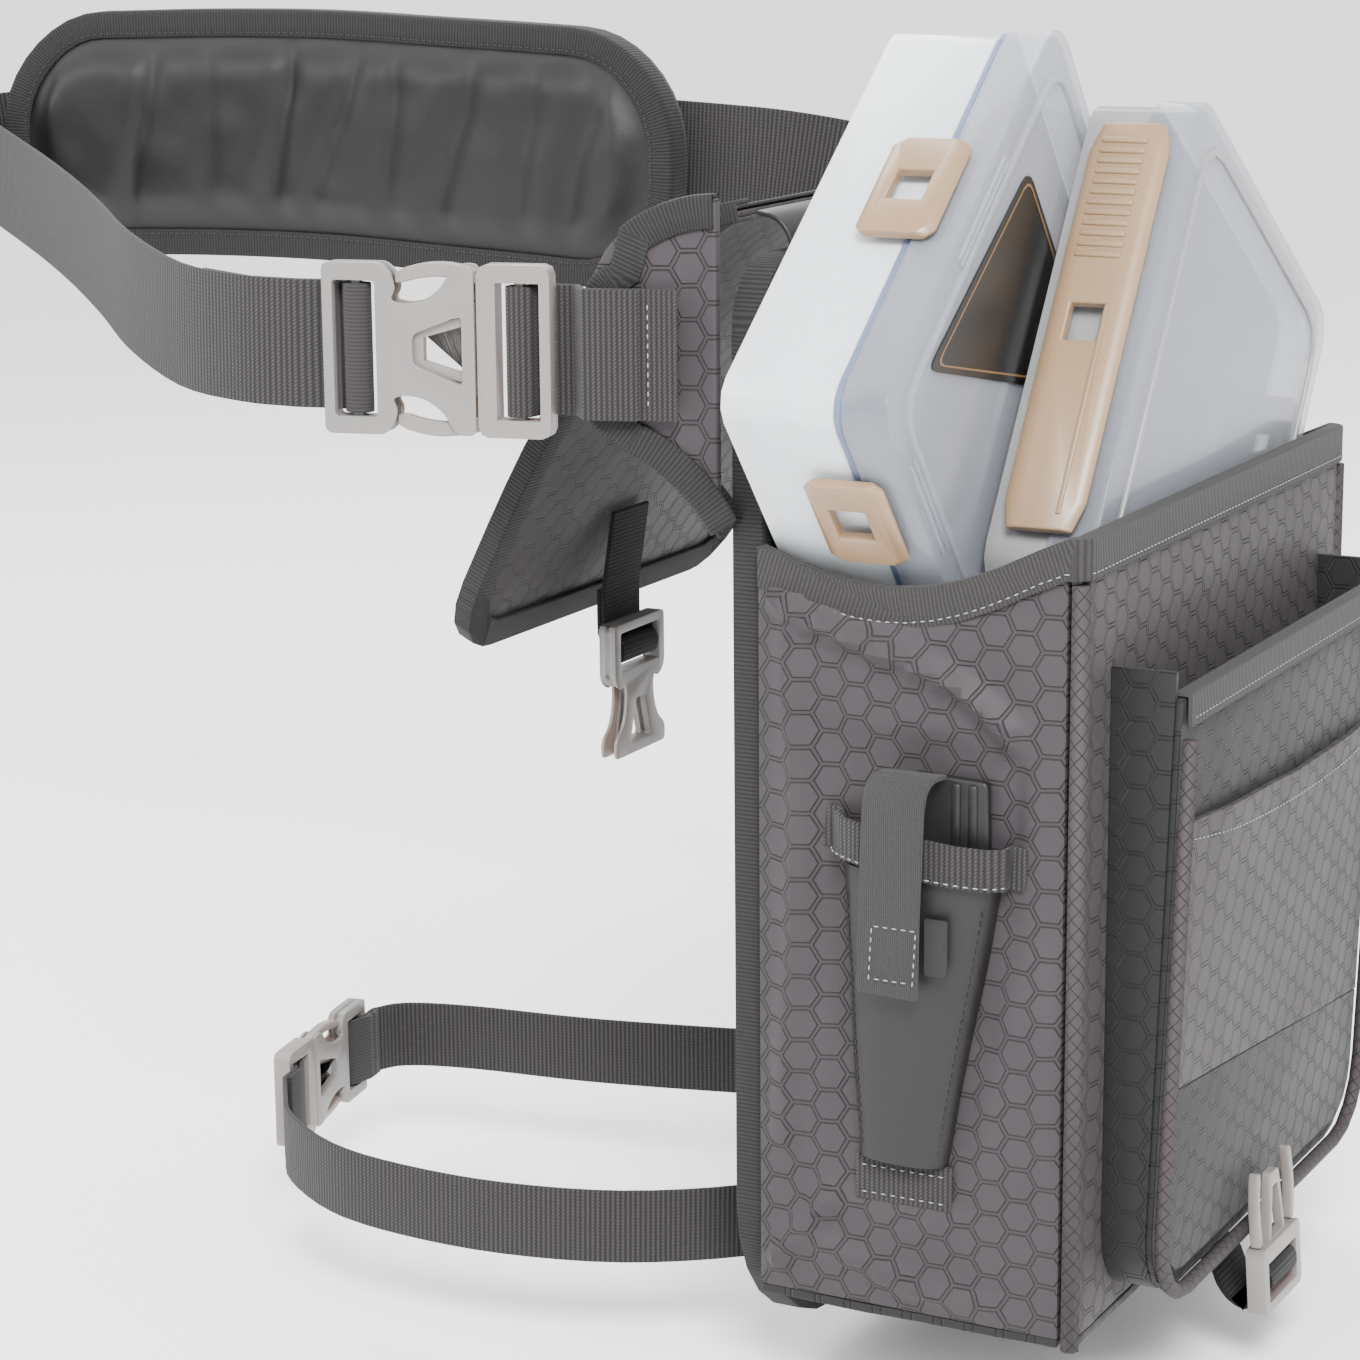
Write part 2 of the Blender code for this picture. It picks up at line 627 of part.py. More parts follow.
def pad_stations():
    """(point, normal, half height) along the lumbar pad, whose ends are round."""
    path = smooth([(x, y, BASE + z) for x, y, z in PAD_ROUTE], 4)
    runs = [0.0]
    for a, b in zip(path, path[1:]):
        runs.append(runs[-1] + (b - a).length)
    total = runs[-1]
    turns = [math.sin(math.radians(a)) for a in (12, 35, 60)]
    wanted = [0.0] + [PAD_CORNER * (1 - t) for t in reversed(turns)]
    wanted += [s for s in runs if PAD_CORNER < s < total - PAD_CORNER]
    wanted += [total - PAD_CORNER * (1 - t) for t in turns] + [total]
    stations = []
    for s in wanted:
        i = max(k for k in range(len(runs) - 1) if runs[k] <= s)
        share = (s - runs[i]) / (runs[i + 1] - runs[i])
        point = path[i].lerp(path[i + 1], share)
        along = tangents(path)[i].lerp(tangents(path)[i + 1], share).normalized()
        left = min(s, total - s)
        half = PAD_HEIGHT / 2
        if left < PAD_CORNER:
            half += math.sqrt(PAD_CORNER ** 2 - (PAD_CORNER - left) ** 2) - PAD_CORNER
        stations.append((point, Vector((0, 0, 1)).cross(along).normalized(), half))
    return stations


def lumbar_pad():
    """A foam face towards the wearer and a fabric cover outside it, taped together."""
    total = PAD_FOAM + PAD_COVER + GAP
    up = Vector((0, 0, 1))
    for name, low, high, colour in (
            ("lumbar_foam", -total / 2, -total / 2 + PAD_FOAM, FOAM),
            ("lumbar_cover", total / 2 - PAD_COVER, total / 2, FABRIC)):
        rings = [[p - up * h + n * low, p - up * h + n * high,
                  p + up * h + n * high, p + up * h + n * low] for p, n, h in pad_stations()]
        make(name, loft(rings), colour)
    low = [(p - up * h, n) for p, n, h in pad_stations()]
    high = [(p + up * h, n) for p, n, h in pad_stations()][::-1]
    points = [p for p, n in low + high]
    normals = [n for p, n in low + high]
    outwards = [n.cross(t).normalized() for n, t in zip(normals, tangents(points, True))]
    if outwards[len(low) // 2].z > 0:
        outwards = [-o for o in outwards]
    tape("lumbar_tape", points, outwards, normals, total + GAP, closed=True)


def waist_belt():
    wing("wing_left", -1, WING_ROUTE, WING_LEFT_MIDDLE)
    wing("wing_right", 1, WING_ROUTE, WING_RIGHT_MIDDLE)
    loop = web_loop(WAIST_WEB, WAIST_FRAME, False, 0.006)
    face = 0.0020 + BINDING + 2 * GAP + WEB / 2
    outer = [(-0.1233 - face, 0.0120), (-0.1252 - face, 0.0240), (-0.1300 - face, 0.0400)]
    height = BASE + WING_LEFT_MIDDLE
    step = Vector((-(WEB + GAP) * 0.972, -(WEB + GAP) * 0.233, 0))
    patch = [Vector((x, y, height)) for x, y in outer]
    top_layer = [point + step for point in patch[1:]]
    male_route = top_layer + loop[::-1][:-1] + [loop[0]] + patch[::-1]
    strap("wing_webbing", male_route, WAIST_WEB)
    buckle_male("waist_male", WAIST_WEB, WAIST_FRAME)
    for name, side in (("waist_prong_upper", -1), ("waist_prong_lower", 1)):
        buckle_prong(name, WAIST_WEB, WAIST_FRAME, side)
    female_hinge = pivot("waist_release", WAIST_ORIGIN)
    buckle_female("waist_female", WAIST_WEB, WAIST_FRAME, female_hinge)
    belt_loop = web_loop(WAIST_WEB, WAIST_FRAME, True, 0.012)
    tail = [belt_loop[0] + Vector((0.0062, 0.040, 0.001)), belt_loop[0] + Vector((0.0005, 0.018, 0))]
    route = smooth([belt_loop[-1]] + [(x, y, BASE + z) for x, y, z in BELT_ROUTE], 4)
    strap("waist_belt", tail + belt_loop[:-1] + route, WAIST_WEB)
    lumbar_pad()
    far = smooth([(x, y, BASE + z) for x, y, z in FAR_ROUTE], 4)
    outward = PAD_FOAM / 2 + PAD_COVER / 2 + BINDING + 3 * GAP + WEB / 2
    shifted = [p + Vector((outward, 0, 0)) for p in far]
    strap("waist_belt_far", shifted, WAIST_WEB)


# ---------------------------------------------------------------- thigh strap
THIGH_HEIGHT = BASE + 0.009
THIGH_FALL = 0.005        # how much lower the near strap is at the hip panel
THIGH_ORIGIN = Vector((-0.0600, 0.2120, THIGH_HEIGHT))
THIGH_ALONG = (0.985, 0.174, 0)
THIGH_FACE = (-0.174, 0.985, 0)
THIGH_FRAME = buckle_frame(THIGH_ORIGIN, THIGH_ALONG, THIGH_FACE, SMALL_STRETCH)
NEAR_ROUTE = [(-0.040, 0.0038), (-0.058, 0.0052), (-0.080, 0.0160), (-0.104, 0.0480),
              (-0.1165, 0.0870), (-0.1185, 0.1250), (-0.113, 0.1560), (-0.096, 0.1840),
              (-0.078, 0.1985)]
FAR_THIGH_ROUTE = [(0.0250, 0.2130), (0.0330, 0.1880), (0.0400, 0.1400), (0.0540, 0.0840),
                   (0.0680, 0.0380), (0.0860, 0.0088), (0.104, 0.0038)]
THIGH_TRAVEL = 0.024


def thigh_strap():
    near = smooth([(x, y, THIGH_HEIGHT - THIGH_FALL * (1 - i / (len(NEAR_ROUTE) - 1)))
                   for i, (x, y) in enumerate(NEAR_ROUTE)], 4)
    loop = web_loop(THIGH_WEB, THIGH_FRAME, False, 0.005)
    strap("thigh_strap_near", near + loop[::-1], THIGH_WEB)
    buckle_male("thigh_male", THIGH_WEB, THIGH_FRAME)
    for name, side in (("thigh_prong_upper", -1), ("thigh_prong_lower", 1)):
        buckle_prong(name, THIGH_WEB, THIGH_FRAME, side)
    release = pivot("thigh_release", THIGH_ORIGIN)
    buckle_female("thigh_female", THIGH_WEB, THIGH_FRAME, release)
    far_loop = web_loop(THIGH_WEB, THIGH_FRAME, True, 0.003)
    far = smooth([far_loop[-1]] + [(x, y, THIGH_HEIGHT) for x, y in FAR_THIGH_ROUTE], 4)
    strap("thigh_strap_far", far_loop[:-1] + far, THIGH_WEB)


# ---------------------------------------------------------------- lid strap and pocket buckle
LID_STRAP_X = -0.010
LID_STRAP_HINGE = Vector((LID_STRAP_X, 0.0935, BASE + 0.2290))


def lid_strap(lid_hinge):
    """A short strap under the lid with the hollow half of a buckle hanging from it."""
    hinge = pivot("lid_strap_hinge", LID_STRAP_HINGE - LID_HINGE, parent=lid_hinge)
    drop = Vector((0, 0, -1))
    size = buckle_sizes(THIGH_WEB)
    end = LID_STRAP_HINGE + drop * 0.040
    length = size["end"] * SMALL_STRETCH
    frame = buckle_frame(end + drop * length, -drop, (0, -1, 0), SMALL_STRETCH)
    origin = LID_STRAP_HINGE
    loop = [p - origin for p in web_loop(THIGH_WEB, frame, True, 0.008)]
    top = [loop[-1].lerp(Vector((0, 0.0, -0.0012)), s) for s in (0.35, 0.7, 1.0)]
    strap("lid_strap", loop + top, THIGH_WEB, DARK_WEBBING, hinge, across=(1, 0, 0))
    buckle_female("lid_female", THIGH_WEB, frame, hinge)


POCKET_BUCKLE_X = -0.010
POCKET_HINGE = Vector((POCKET_BUCKLE_X, FRONT - 0.0270, BASE - 0.0080))
POCKET_LEAN = math.radians(4)


def pocket_buckle():
    """The solid half stands on a short strap sewn under the bag."""
    hinge = pivot("pocket_buckle_hinge", POCKET_HINGE)
    size = buckle_sizes(THIGH_WEB)
    up = Vector((0, math.sin(POCKET_LEAN), math.cos(POCKET_LEAN)))
    bar = 0.0103 * size["k"] * SMALL_STRETCH
    frame = buckle_frame(POCKET_HINGE - up * bar, up, (0, -1, 0), SMALL_STRETCH)
    buckle_male("pocket_male", THIGH_WEB, frame, hinge)
    for name, side in (("pocket_prong_left", -1), ("pocket_prong_right", 1)):
        buckle_prong(name, THIGH_WEB, frame, side, hinge)
    loop = web_loop(THIGH_WEB, frame, False, 0.002)[::-1]
    under = BASE - GAP - WEB / 2
    way = [(-0.0165, -0.0150), (-0.0125, -0.0105), (-0.0095, -0.0045), (-0.0030, -0.0008),
           (0.006, 0.0), (0.026, 0.0)]
    rest = [(POCKET_BUCKLE_X, FRONT + y, under + z) for y, z in way]
    strap("pocket_strap", loop[2:-2] + smooth([loop[-3]] + rest, 3)[1:], THIGH_WEB, DARK_WEBBING,
          across=(1, 0, 0))


# ---------------------------------------------------------------- front pocket
def pocket_face_y(z, step=0.0):
    """Depth of the pocket's face at a height above the underside."""
    share = (z - POCKET_LOW) / (POCKET_HIGH - POCKET_LOW)
    return FRONT - POCKET_DEPTH_LOW - (POCKET_DEPTH_HIGH - POCKET_DEPTH_LOW) * share + step


def pocket_sheet(name, outline, colour, step, thick=POCKET_SKIN):
    """A sheet parallel to the pocket's face; outline in (x, height above the underside)."""
    rings = [[(x, pocket_face_y(z, step + t), BASE + z) for x, z in outline] for t in (0, thick)]
    make(name, loft(rings), colour)


def front_pocket():
    half = POCKET_WIDTH / 2
    corner = 0.024
    low, high = POCKET_LOW, POCKET_HIGH - 0.008
    face = rounded(-half, half, low, high, (corner, 0, 0, corner), 4)
    pocket_sheet("pocket_face", face, DARK_FABRIC, 0.0)
    gusset_points = [(-half, POCKET_HIGH)] + arc((-half + corner, low + corner), corner, 180, 270, 4)
    gusset_points += arc((half - corner, low + corner), corner, 270, 360, 4) + [(half, POCKET_HIGH)]
    wall = POCKET_SKIN
    rings = []
    for i, (x, z) in enumerate(gusset_points):
        before = gusset_points[max(i - 1, 0)]
        after = gusset_points[min(i + 1, len(gusset_points) - 1)]
        along = Vector((after[0] - before[0], 0, after[1] - before[1])).normalized()
        inward = Vector((-along.z, 0, along.x))
        front = Vector((x, pocket_face_y(z, POCKET_SKIN + GAP), BASE + z))
        rear = Vector((x, FRONT - GAP, BASE + z))
        rings.append([front, rear, rear + inward * wall, front + inward * wall])
    make("pocket_gusset", loft(rings), DARK_FABRIC)
    inset = 0.0065
    slip_low, slip_left, slip_right = 0.078, 0.163, 0.157
    sheet = -(POCKET_SKIN + GAP)
    x = half - inset
    slip = [(-x, slip_low + GAP), (x, 0.058 + GAP), (x, slip_right), (0, (slip_left + slip_right) / 2 - 0.002),
            (-x, slip_left)]
    pocket_sheet("pocket_slip", slip, FABRIC, sheet)
    insert = rounded(-x, x, low + inset, slip_low, (corner - inset, 0, 0, corner - inset), 4)
    insert = [(a, min(b, slip_low + (0.058 - slip_low) * (a + x) / (2 * x))) for a, b in insert]
    pocket_sheet("pocket_insert", insert, DARK_FABRIC, sheet)
    cord_line = [(-half, high - 0.012)] + arc((-half + corner, low + corner), corner, 180, 270, 4)
    cord_line += arc((half - corner, low + corner), corner, 270, 360, 4) + [(half, high - 0.012)]
    proud = PIPING / 2 + GAP
    cord("pocket_piping", [(a, pocket_face_y(z) - proud, BASE + z) for a, z in cord_line], 0.005)
    up = Vector((0, 0, 1))
    edge_y = pocket_face_y(high) + POCKET_SKIN / 2 - 0.0002
    inside = half - POCKET_SKIN - GAP
    edge = [Vector((a, edge_y, BASE + high)) for a in (-inside, 0, inside)]
    tape("pocket_tape", edge, [up] * 3, [Vector((0, 1, 0))] * 3, POCKET_SKIN + 0.0006, TAPE)


# ---------------------------------------------------------------- tool holster
HOLSTER_Y = BACK - 0.0565        # its middle, on the side wall
HOLSTER_RISE_TOP = 0.013
HOLSTER_RISE_LOW = 0.007
STRAP_Y = HOLSTER_Y + 0.002
HOLSTER_STRAP_WIDTH = 0.020
HOLSTER_STRAP_TOP = 0.177
HOLSTER_STRAP_LOW = 0.111
BAND_HEIGHT = 0.0130
BAND_MIDDLE = 0.154


def holster():
    """An open tapering sleeve, with a band, a patch and a strap that peels off."""
    wall = -SIDE - GAP
    rings = []
    steps, levels = 10, 6
    for j in range(levels + 1):
        share = j / levels
        z = BASE + HOLSTER_LOW + (HOLSTER_TOP - HOLSTER_LOW) * share
        half = HOLSTER_HALF_LOW + (HOLSTER_HALF_TOP - HOLSTER_HALF_LOW) * share
        rise = HOLSTER_RISE_LOW + (HOLSTER_RISE_TOP - HOLSTER_RISE_LOW) * share
        turns = [math.pi * i / steps for i in range(steps + 1)]
        middle = HOLSTER_Y + HOLSTER_LEAN * (1 - share)
        outer = [(wall - rise * math.sin(t) ** 0.7, middle - half * math.cos(t), z) for t in turns]
        inner_half, inner_rise = half - HOLSTER_SKIN, rise - HOLSTER_SKIN
        inner = [(wall - inner_rise * math.sin(t) ** 0.7, middle - inner_half * math.cos(t), z)
                 for t in turns]
        rings.append(outer + inner[::-1])
    make("holster_sleeve", loft(rings), SLEEVE)

    rise = HOLSTER_RISE_TOP + 2 * GAP + WEB / 2
    middle = BASE + BAND_MIDDLE
    reach = HOLSTER_HALF_TOP + 0.007
    band = [(-SIDE - GAP - WEB / 2, HOLSTER_Y + reach), (-SIDE - GAP - WEB / 2, HOLSTER_Y + reach - 0.005)]
    band += [(-SIDE - rise * math.sin(math.radians(a)) ** 0.6,
              HOLSTER_Y + (HOLSTER_HALF_TOP + 0.0022) * math.cos(math.radians(a)))
             for a in (12, 35, 60, 90, 120, 145, 168)]
    band += [(-SIDE - GAP - WEB / 2, HOLSTER_Y - reach + 0.005), (-SIDE - GAP - WEB / 2, HOLSTER_Y - reach)]
    path = [Vector((x, y, middle + 0.0034 * (y - HOLSTER_Y) / reach)) for x, y in band]
    strap("holster_band", path, BAND_HEIGHT)

    foot = HOLSTER_Y + HOLSTER_LEAN
    low, high = BASE + HOLSTER_LOW - 0.0150, BASE + HOLSTER_LOW - GAP
    outline = [(foot - 0.016, low), (foot + 0.016, low), (foot + 0.016, high), (foot - 0.016, high)]
    make("holster_patch", prism(outline, -SIDE - GAP - WEB, -SIDE - GAP, axis="X"), WEBBING)

    sewn = Vector((-SIDE - 0.0030, STRAP_Y, BASE + HOLSTER_STRAP_TOP))
    hinge = pivot("holster_strap_hinge", sewn)
    out = -(HOLSTER_RISE_TOP + 2 * WEB + 3 * GAP - 0.0016)
    length = HOLSTER_STRAP_TOP - HOLSTER_STRAP_LOW
    line = [(0.0, 0.0, 0.0), (-0.0045, 0.0, 0.0006), (out * 0.75, 0.0, 0.0004), (out, 0.0005, -0.0050),
            (out - 0.0006, 0.001, -0.020), (out - 0.0002, 0.002, -0.042), (out + 0.0012, 0.003, -length)]
    strap("holster_strap", smooth(line, 3), HOLSTER_STRAP_WIDTH, parent=hinge, across=(0, 1, 0))


# ---------------------------------------------------------------- tackle boxes
def tray(outline_outer, outline_inner, floor, rim, bottom_thick):
    """An open tray along -Y: floor at y = floor, rim at y = rim."""
    inner_floor = floor - bottom_thick
    bm = bmesh.new()
    loops = [(outline_outer, floor), (outline_outer, rim), (outline_inner, rim),
             (outline_inner, inner_floor)]
    rows = [[bm.verts.new((x, y, z)) for x, z in outline] for outline, y in loops]
    count = len(outline_outer)
    for low, high in zip(rows, rows[1:]):
        for i in range(count):
            j = (i + 1) % count
            bm.faces.new((low[i], low[j], high[j], high[i]))
    bm.faces.new(rows[0])
    bm.faces.new(rows[-1])
    return bm


def box_outline(size, inset, radius):
    return rounded(inset, size["long"] - inset, inset, size["short"] - inset, (radius - inset,) * 4, 3)


def tackle_box(name, size, place, tilt, sealed):
    """Base tray, lid tray and gasket. x runs down the long side, z up the short one."""
    seal_depth = 0.0022 if sealed else -GAP
    carrier = pivot(name + "_carrier", place, math.radians(tilt))
    inset = 0.0020
    outer = box_outline(size, inset, BOX_CORNER)
    inner = box_outline(size, inset + BOX_WALL, BOX_CORNER)
    split = -(size["thick"] - size["lid"])
    make(name + "_base", tray(outer, inner, 0.0, split, BOX_WALL), CLEAR, carrier, 0.3)
    lid_outer = box_outline(size, 0.0, BOX_CORNER)
    lid_inner = box_outline(size, BOX_WALL, BOX_CORNER)
    top = -size["thick"]
    lid_rim = split - GAP - seal_depth - GAP
    make(name + "_lid", tray(lid_outer, lid_inner, top, lid_rim, -BOX_WALL), CLEAR, carrier, 0.2)
    if not sealed:
        return carrier, split
    ring_outer = box_outline(size, 0.0012, BOX_CORNER)
    ring_inner = box_outline(size, 0.0048, BOX_CORNER)
    bm = bmesh.new()
    rows = [[bm.verts.new((x, y, z)) for x, z in outline]
            for outline, y in ((ring_outer, split - GAP), (ring_outer, lid_rim + GAP),
                               (ring_inner, lid_rim + GAP), (ring_inner, split - GAP))]
    for low, high in zip(rows, rows[1:] + rows[:1]):
        for i in range(len(low)):
            j = (i + 1) % len(low)
            bm.faces.new((low[i], low[j], high[j], high[i]))
    make(name + "_seal", bm, SEAL, carrier, 0.6)
    return carrier, split


def side_latch(name, size, split, carrier, side, middle, length=0.040):
    """A clip on one side of a box. It is hinged on the lid and swings outwards off the base's lip."""
    reach_lid, reach_base = 0.010, 0.014
    low, high = split + reach_base, split - reach_lid
    stand, thick = 0.0010, 0.0036
    half = length / 2
    directions = {"left": ((0, 0), (-1, 0)), "right": ((size["long"], 0), (1, 0)),
                  "lower": ((0, 0), (0, -1)), "upper": ((0, size["short"]), (0, 1))}
    (base_x, base_z), (out_x, out_z) = directions[side]
    along_x, along_z = abs(out_z), abs(out_x)
    place = Vector((base_x + along_x * middle + out_x * (stand + thick / 2), high + 0.002,
                    base_z + along_z * middle + out_z * (stand + thick / 2)))
    hinge = pivot(name + "_hinge", place, parent=carrier)
    rings = []
    section = [(stand, high), (stand, low), (stand + thick * 0.6, low + 0.0012),
               (stand + thick, low - 0.002), (stand + thick, high + 0.002),
               (stand + thick * 0.5, high - 0.0015)]
    for run in (-half, -half * 0.86, half * 0.86, half):
        trim = 0.0025 if abs(run) == half else 0.0
        ring = []
        for out, y in section:
            depth = y - trim if y > split else y + trim
            point = Vector((base_x + along_x * (middle + run) + out_x * out, depth,
                            base_z + along_z * (middle + run) + out_z * out))
            ring.append(point - place)
        rings.append(ring)
    latch = make(name, loft(rings), LATCH, hinge, 0.45)
    slot_half = 0.0062
    a, b = split + 0.0085, split - 0.0030
    corner_low = Vector((base_x + along_x * (middle - slot_half) + out_x * -0.002, a,
                         base_z + along_z * (middle - slot_half) + out_z * -0.002)) - place
    corner_high = Vector((base_x + along_x * (middle + slot_half) + out_x * 0.010, b,
                          base_z + along_z * (middle + slot_half) + out_z * 0.010)) - place
    spans = [sorted((corner_low[i], corner_high[i])) for i in range(3)]
    outline = [(spans[0][0], spans[2][0]), (spans[0][1], spans[2][0]), (spans[0][1], spans[2][1]),
               (spans[0][0], spans[2][1])]
    cut(latch, make(name + "_slot", prism(outline, *spans[1], axis="Y"), LATCH, hinge))


DEEP_PLACE = Vector((-0.1570, BACK - 0.0027, BASE + BODY_HEIGHT + 0.0410))
DEEP_TILT = 51.0
SLIM_PLACE_TOP = Vector((-0.0030, BACK - 0.0605, BASE + BODY_HEIGHT + 0.1240))
SLIM_TILT = 33.0
LATCH_NEAR = 0.046


def deep_box():
    carrier, split = tackle_box("deep_box", DEEP_BOX, DEEP_PLACE, DEEP_TILT, True)
    middle = DEEP_BOX["short"] * 0.52
    side_latch("deep_latch_left", DEEP_BOX, split, carrier, "left", middle)
    side_latch("deep_latch_right", DEEP_BOX, split, carrier, "right", middle, 0.036)
    side_latch("deep_latch_near", DEEP_BOX, split, carrier, "lower", LATCH_NEAR, 0.034)
    side_latch("deep_latch_far", DEEP_BOX, split, carrier, "lower", DEEP_BOX["long"] - LATCH_NEAR, 0.034)
    wall = BOX_WALL + 0.0020 + GAP
    floor = -BOX_WALL - GAP
    rows, columns = (0.36, 0.68), (0.30, 0.62)
    thick = 0.0012
    height = split + 0.004
    x_lines = [wall] + [DEEP_BOX["long"] * s for s in columns] + [DEEP_BOX["long"] - wall]
    z_lines = [wall + 0.011] + [DEEP_BOX["short"] * s for s in rows] + [DEEP_BOX["short"] - wall - 0.011]
    blocks = []
    for x in x_lines[1:-1]:
        blocks.append([(x - thick / 2, z_lines[0]), (x + thick / 2, z_lines[0]),
                       (x + thick / 2, z_lines[-1]), (x - thick / 2, z_lines[-1])])
    for z in z_lines[1:-1]:
        blocks.append([(wall + 0.011, z - thick / 2), (DEEP_BOX["long"] - wall - 0.011, z - thick / 2),
                       (DEEP_BOX["long"] - wall - 0.011, z + thick / 2), (wall + 0.011, z + thick / 2)])
    first = make("deep_dividers", prism(blocks[0], height, floor, axis="Y"), CLEAR, carrier, 0.2)
    for i, block in enumerate(blocks[1:]):
        unite(first, make(f"divider_{i}", prism(block, height, floor, axis="Y"), CLEAR, carrier))


def slim_box():
    up = Vector((math.sin(math.radians(SLIM_TILT)), 0, math.cos(math.radians(SLIM_TILT))))
    corner = SLIM_PLACE_TOP - up * SLIM_BOX["short"]
    carrier, split = tackle_box("slim_box", SLIM_BOX, corner, SLIM_TILT, False)
    long_latch(carrier, split)
    side_latch("slim_latch_right", SLIM_BOX, split, carrier, "right", SLIM_BOX["short"] * 0.70, 0.040)


def long_latch(carrier, split):
    """The slim box's full-length clip, on the side that stands out of the bag."""
    length = SLIM_BOX["short"] - 0.030
    side_latch("slim_latch_bar", SLIM_BOX, split, carrier, "left", SLIM_BOX["short"] / 2, length)


def build():
    clear_scene()
    side_panels()
    front_panel()
    bottom_panel()
    body_piping()
    rim_tape()
    hip_panel()
    lid_strap(lid())
    waist_belt()
    thigh_strap()
    front_pocket()
    pocket_buckle()
    holster()
    deep_box()
    slim_box()


build()
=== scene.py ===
"""Looks of a worn fishing tackle bag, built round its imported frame. Metres; +Y to the wearer, +Z up."""
import math

import bmesh
import bpy
from mathutils import Matrix, Vector, noise


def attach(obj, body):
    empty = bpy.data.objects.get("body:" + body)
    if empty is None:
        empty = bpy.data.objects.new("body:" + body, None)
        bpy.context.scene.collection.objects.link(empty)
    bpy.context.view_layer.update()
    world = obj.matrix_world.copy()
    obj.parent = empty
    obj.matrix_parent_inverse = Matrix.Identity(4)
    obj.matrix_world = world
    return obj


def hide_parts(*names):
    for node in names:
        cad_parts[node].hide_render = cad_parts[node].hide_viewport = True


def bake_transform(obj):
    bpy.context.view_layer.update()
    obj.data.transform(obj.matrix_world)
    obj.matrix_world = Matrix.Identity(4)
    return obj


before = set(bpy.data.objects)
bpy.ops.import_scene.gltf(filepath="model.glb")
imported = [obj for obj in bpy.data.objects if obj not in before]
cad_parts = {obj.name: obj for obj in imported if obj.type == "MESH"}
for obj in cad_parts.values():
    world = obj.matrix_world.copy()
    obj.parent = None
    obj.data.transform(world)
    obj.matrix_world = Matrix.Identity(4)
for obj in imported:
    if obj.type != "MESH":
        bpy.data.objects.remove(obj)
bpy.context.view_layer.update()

# ---------------------------------------------------------------- sizes shared with the frame
BASE = -0.150
GAP = 0.0003
WEB = 0.0016
WALL = 0.003
HIP_THICK = 0.0093
BACK = -(HIP_THICK + 0.0018)
BODY_DEPTH, BODY_HEIGHT = 0.106, 0.250
FRONT = BACK - BODY_DEPTH
SIDE = 0.120
WAIST_WEB, THIGH_WEB = 0.040, 0.025
SMALL_STRETCH = 1.42  # the narrow buckles' length against their width
BUCKLE_HALF, BUCKLE_LENGTH = 0.0265, 0.0730  # the wide buckle's hollow half
WING_LEFT_Z, WING_RIGHT_Z = 0.299, 0.318  # where the belt meets each wing, above the underside
WING_END_HALF = 0.0265
PAD_HALF, PAD_CORNER, PAD_STRAIGHT = 0.047, 0.042, 0.005  # PAD_STRAIGHT is what the corners leave
HOLSTER_Y = BACK - 0.0565
HOLSTER_FOOT, HOLSTER_RISE, HOLSTER_LEAN = 0.0535, 0.0945, 0.0065
STITCH_PITCH, STITCH_LENGTH, STITCH_RADIUS = 0.0029, 0.0020, 0.00024
X, Z = Vector((1, 0, 0)), Vector((0, 0, 1))


def clamp(share):
    return max(0.0, min(1.0, share))


def srgb(r, g, b, dim=0.125):
    """Linear colour of an everyday 0 to 255 one, dimmed for the bright studio."""
    return tuple(dim * ((c / 255 + 0.055) / 1.055) ** 2.4 for c in (r, g, b))


# ---------------------------------------------------------------- camera and light
def set_camera():
    turn, drop, roll = math.radians(61.93), math.radians(12.94), math.radians(-0.53)
    ahead = Vector((math.sin(turn) * math.cos(drop), math.cos(turn) * math.cos(drop), -math.sin(drop)))
    right = Vector((math.cos(turn), -math.sin(turn), 0))
    above = right.cross(ahead)
    right, above = (right * math.cos(roll) + above * math.sin(roll),
                    above * math.cos(roll) - right * math.sin(roll))
    camera = bpy.data.objects.new("camera", bpy.data.cameras.new("camera"))
    camera.data.lens = 95.2
    camera.data.clip_start = 0.02
    axes = Matrix((right, above, -ahead)).transposed().to_4x4()
    camera.matrix_world = Matrix.Translation((-1.0774, -0.4944, 0.2964)) @ axes
    bpy.context.scene.collection.objects.link(camera)
    bpy.context.scene.camera = camera


def set_light():
    world = bpy.data.worlds.new("studio")
    bpy.context.scene.world = world
    world.use_nodes = True
    back = world.node_tree.nodes["Background"]
    back.inputs["Color"].default_value = (1.0, 1.0, 1.0, 1)
    back.inputs["Strength"].default_value = 1.9
    for name, place, size, power in (("key", (-1.5, -0.9, 1.5), 0.8, 125),
                                     ("fill", (-1.2, 1.2, 0.9), 1.2, 22),
                                     ("rim", (0.8, 0.8, 1.4), 1.0, 26)):
        data = bpy.data.lights.new(name, "AREA")
        data.size, data.energy = size, power
        light = bpy.data.objects.new(name, data)
        light.location = place
        light.rotation_euler = (-Vector(place)).to_track_quat("-Z", "Y").to_euler()
        bpy.context.scene.collection.objects.link(light)
    bm = bmesh.new()
    bmesh.ops.create_grid(bm, x_segments=1, y_segments=1, size=3.0)
    bmesh.ops.translate(bm, verts=bm.verts, vec=(0, 0, -0.190))
    mesh = bpy.data.meshes.new("floor")
    bm.to_mesh(mesh)
    floor = bpy.data.objects.new("floor", mesh)
    bpy.context.scene.collection.objects.link(floor)
    floor.data.materials.append(Finish("floor", (0.93, 0.93, 0.93), 0.9).done())


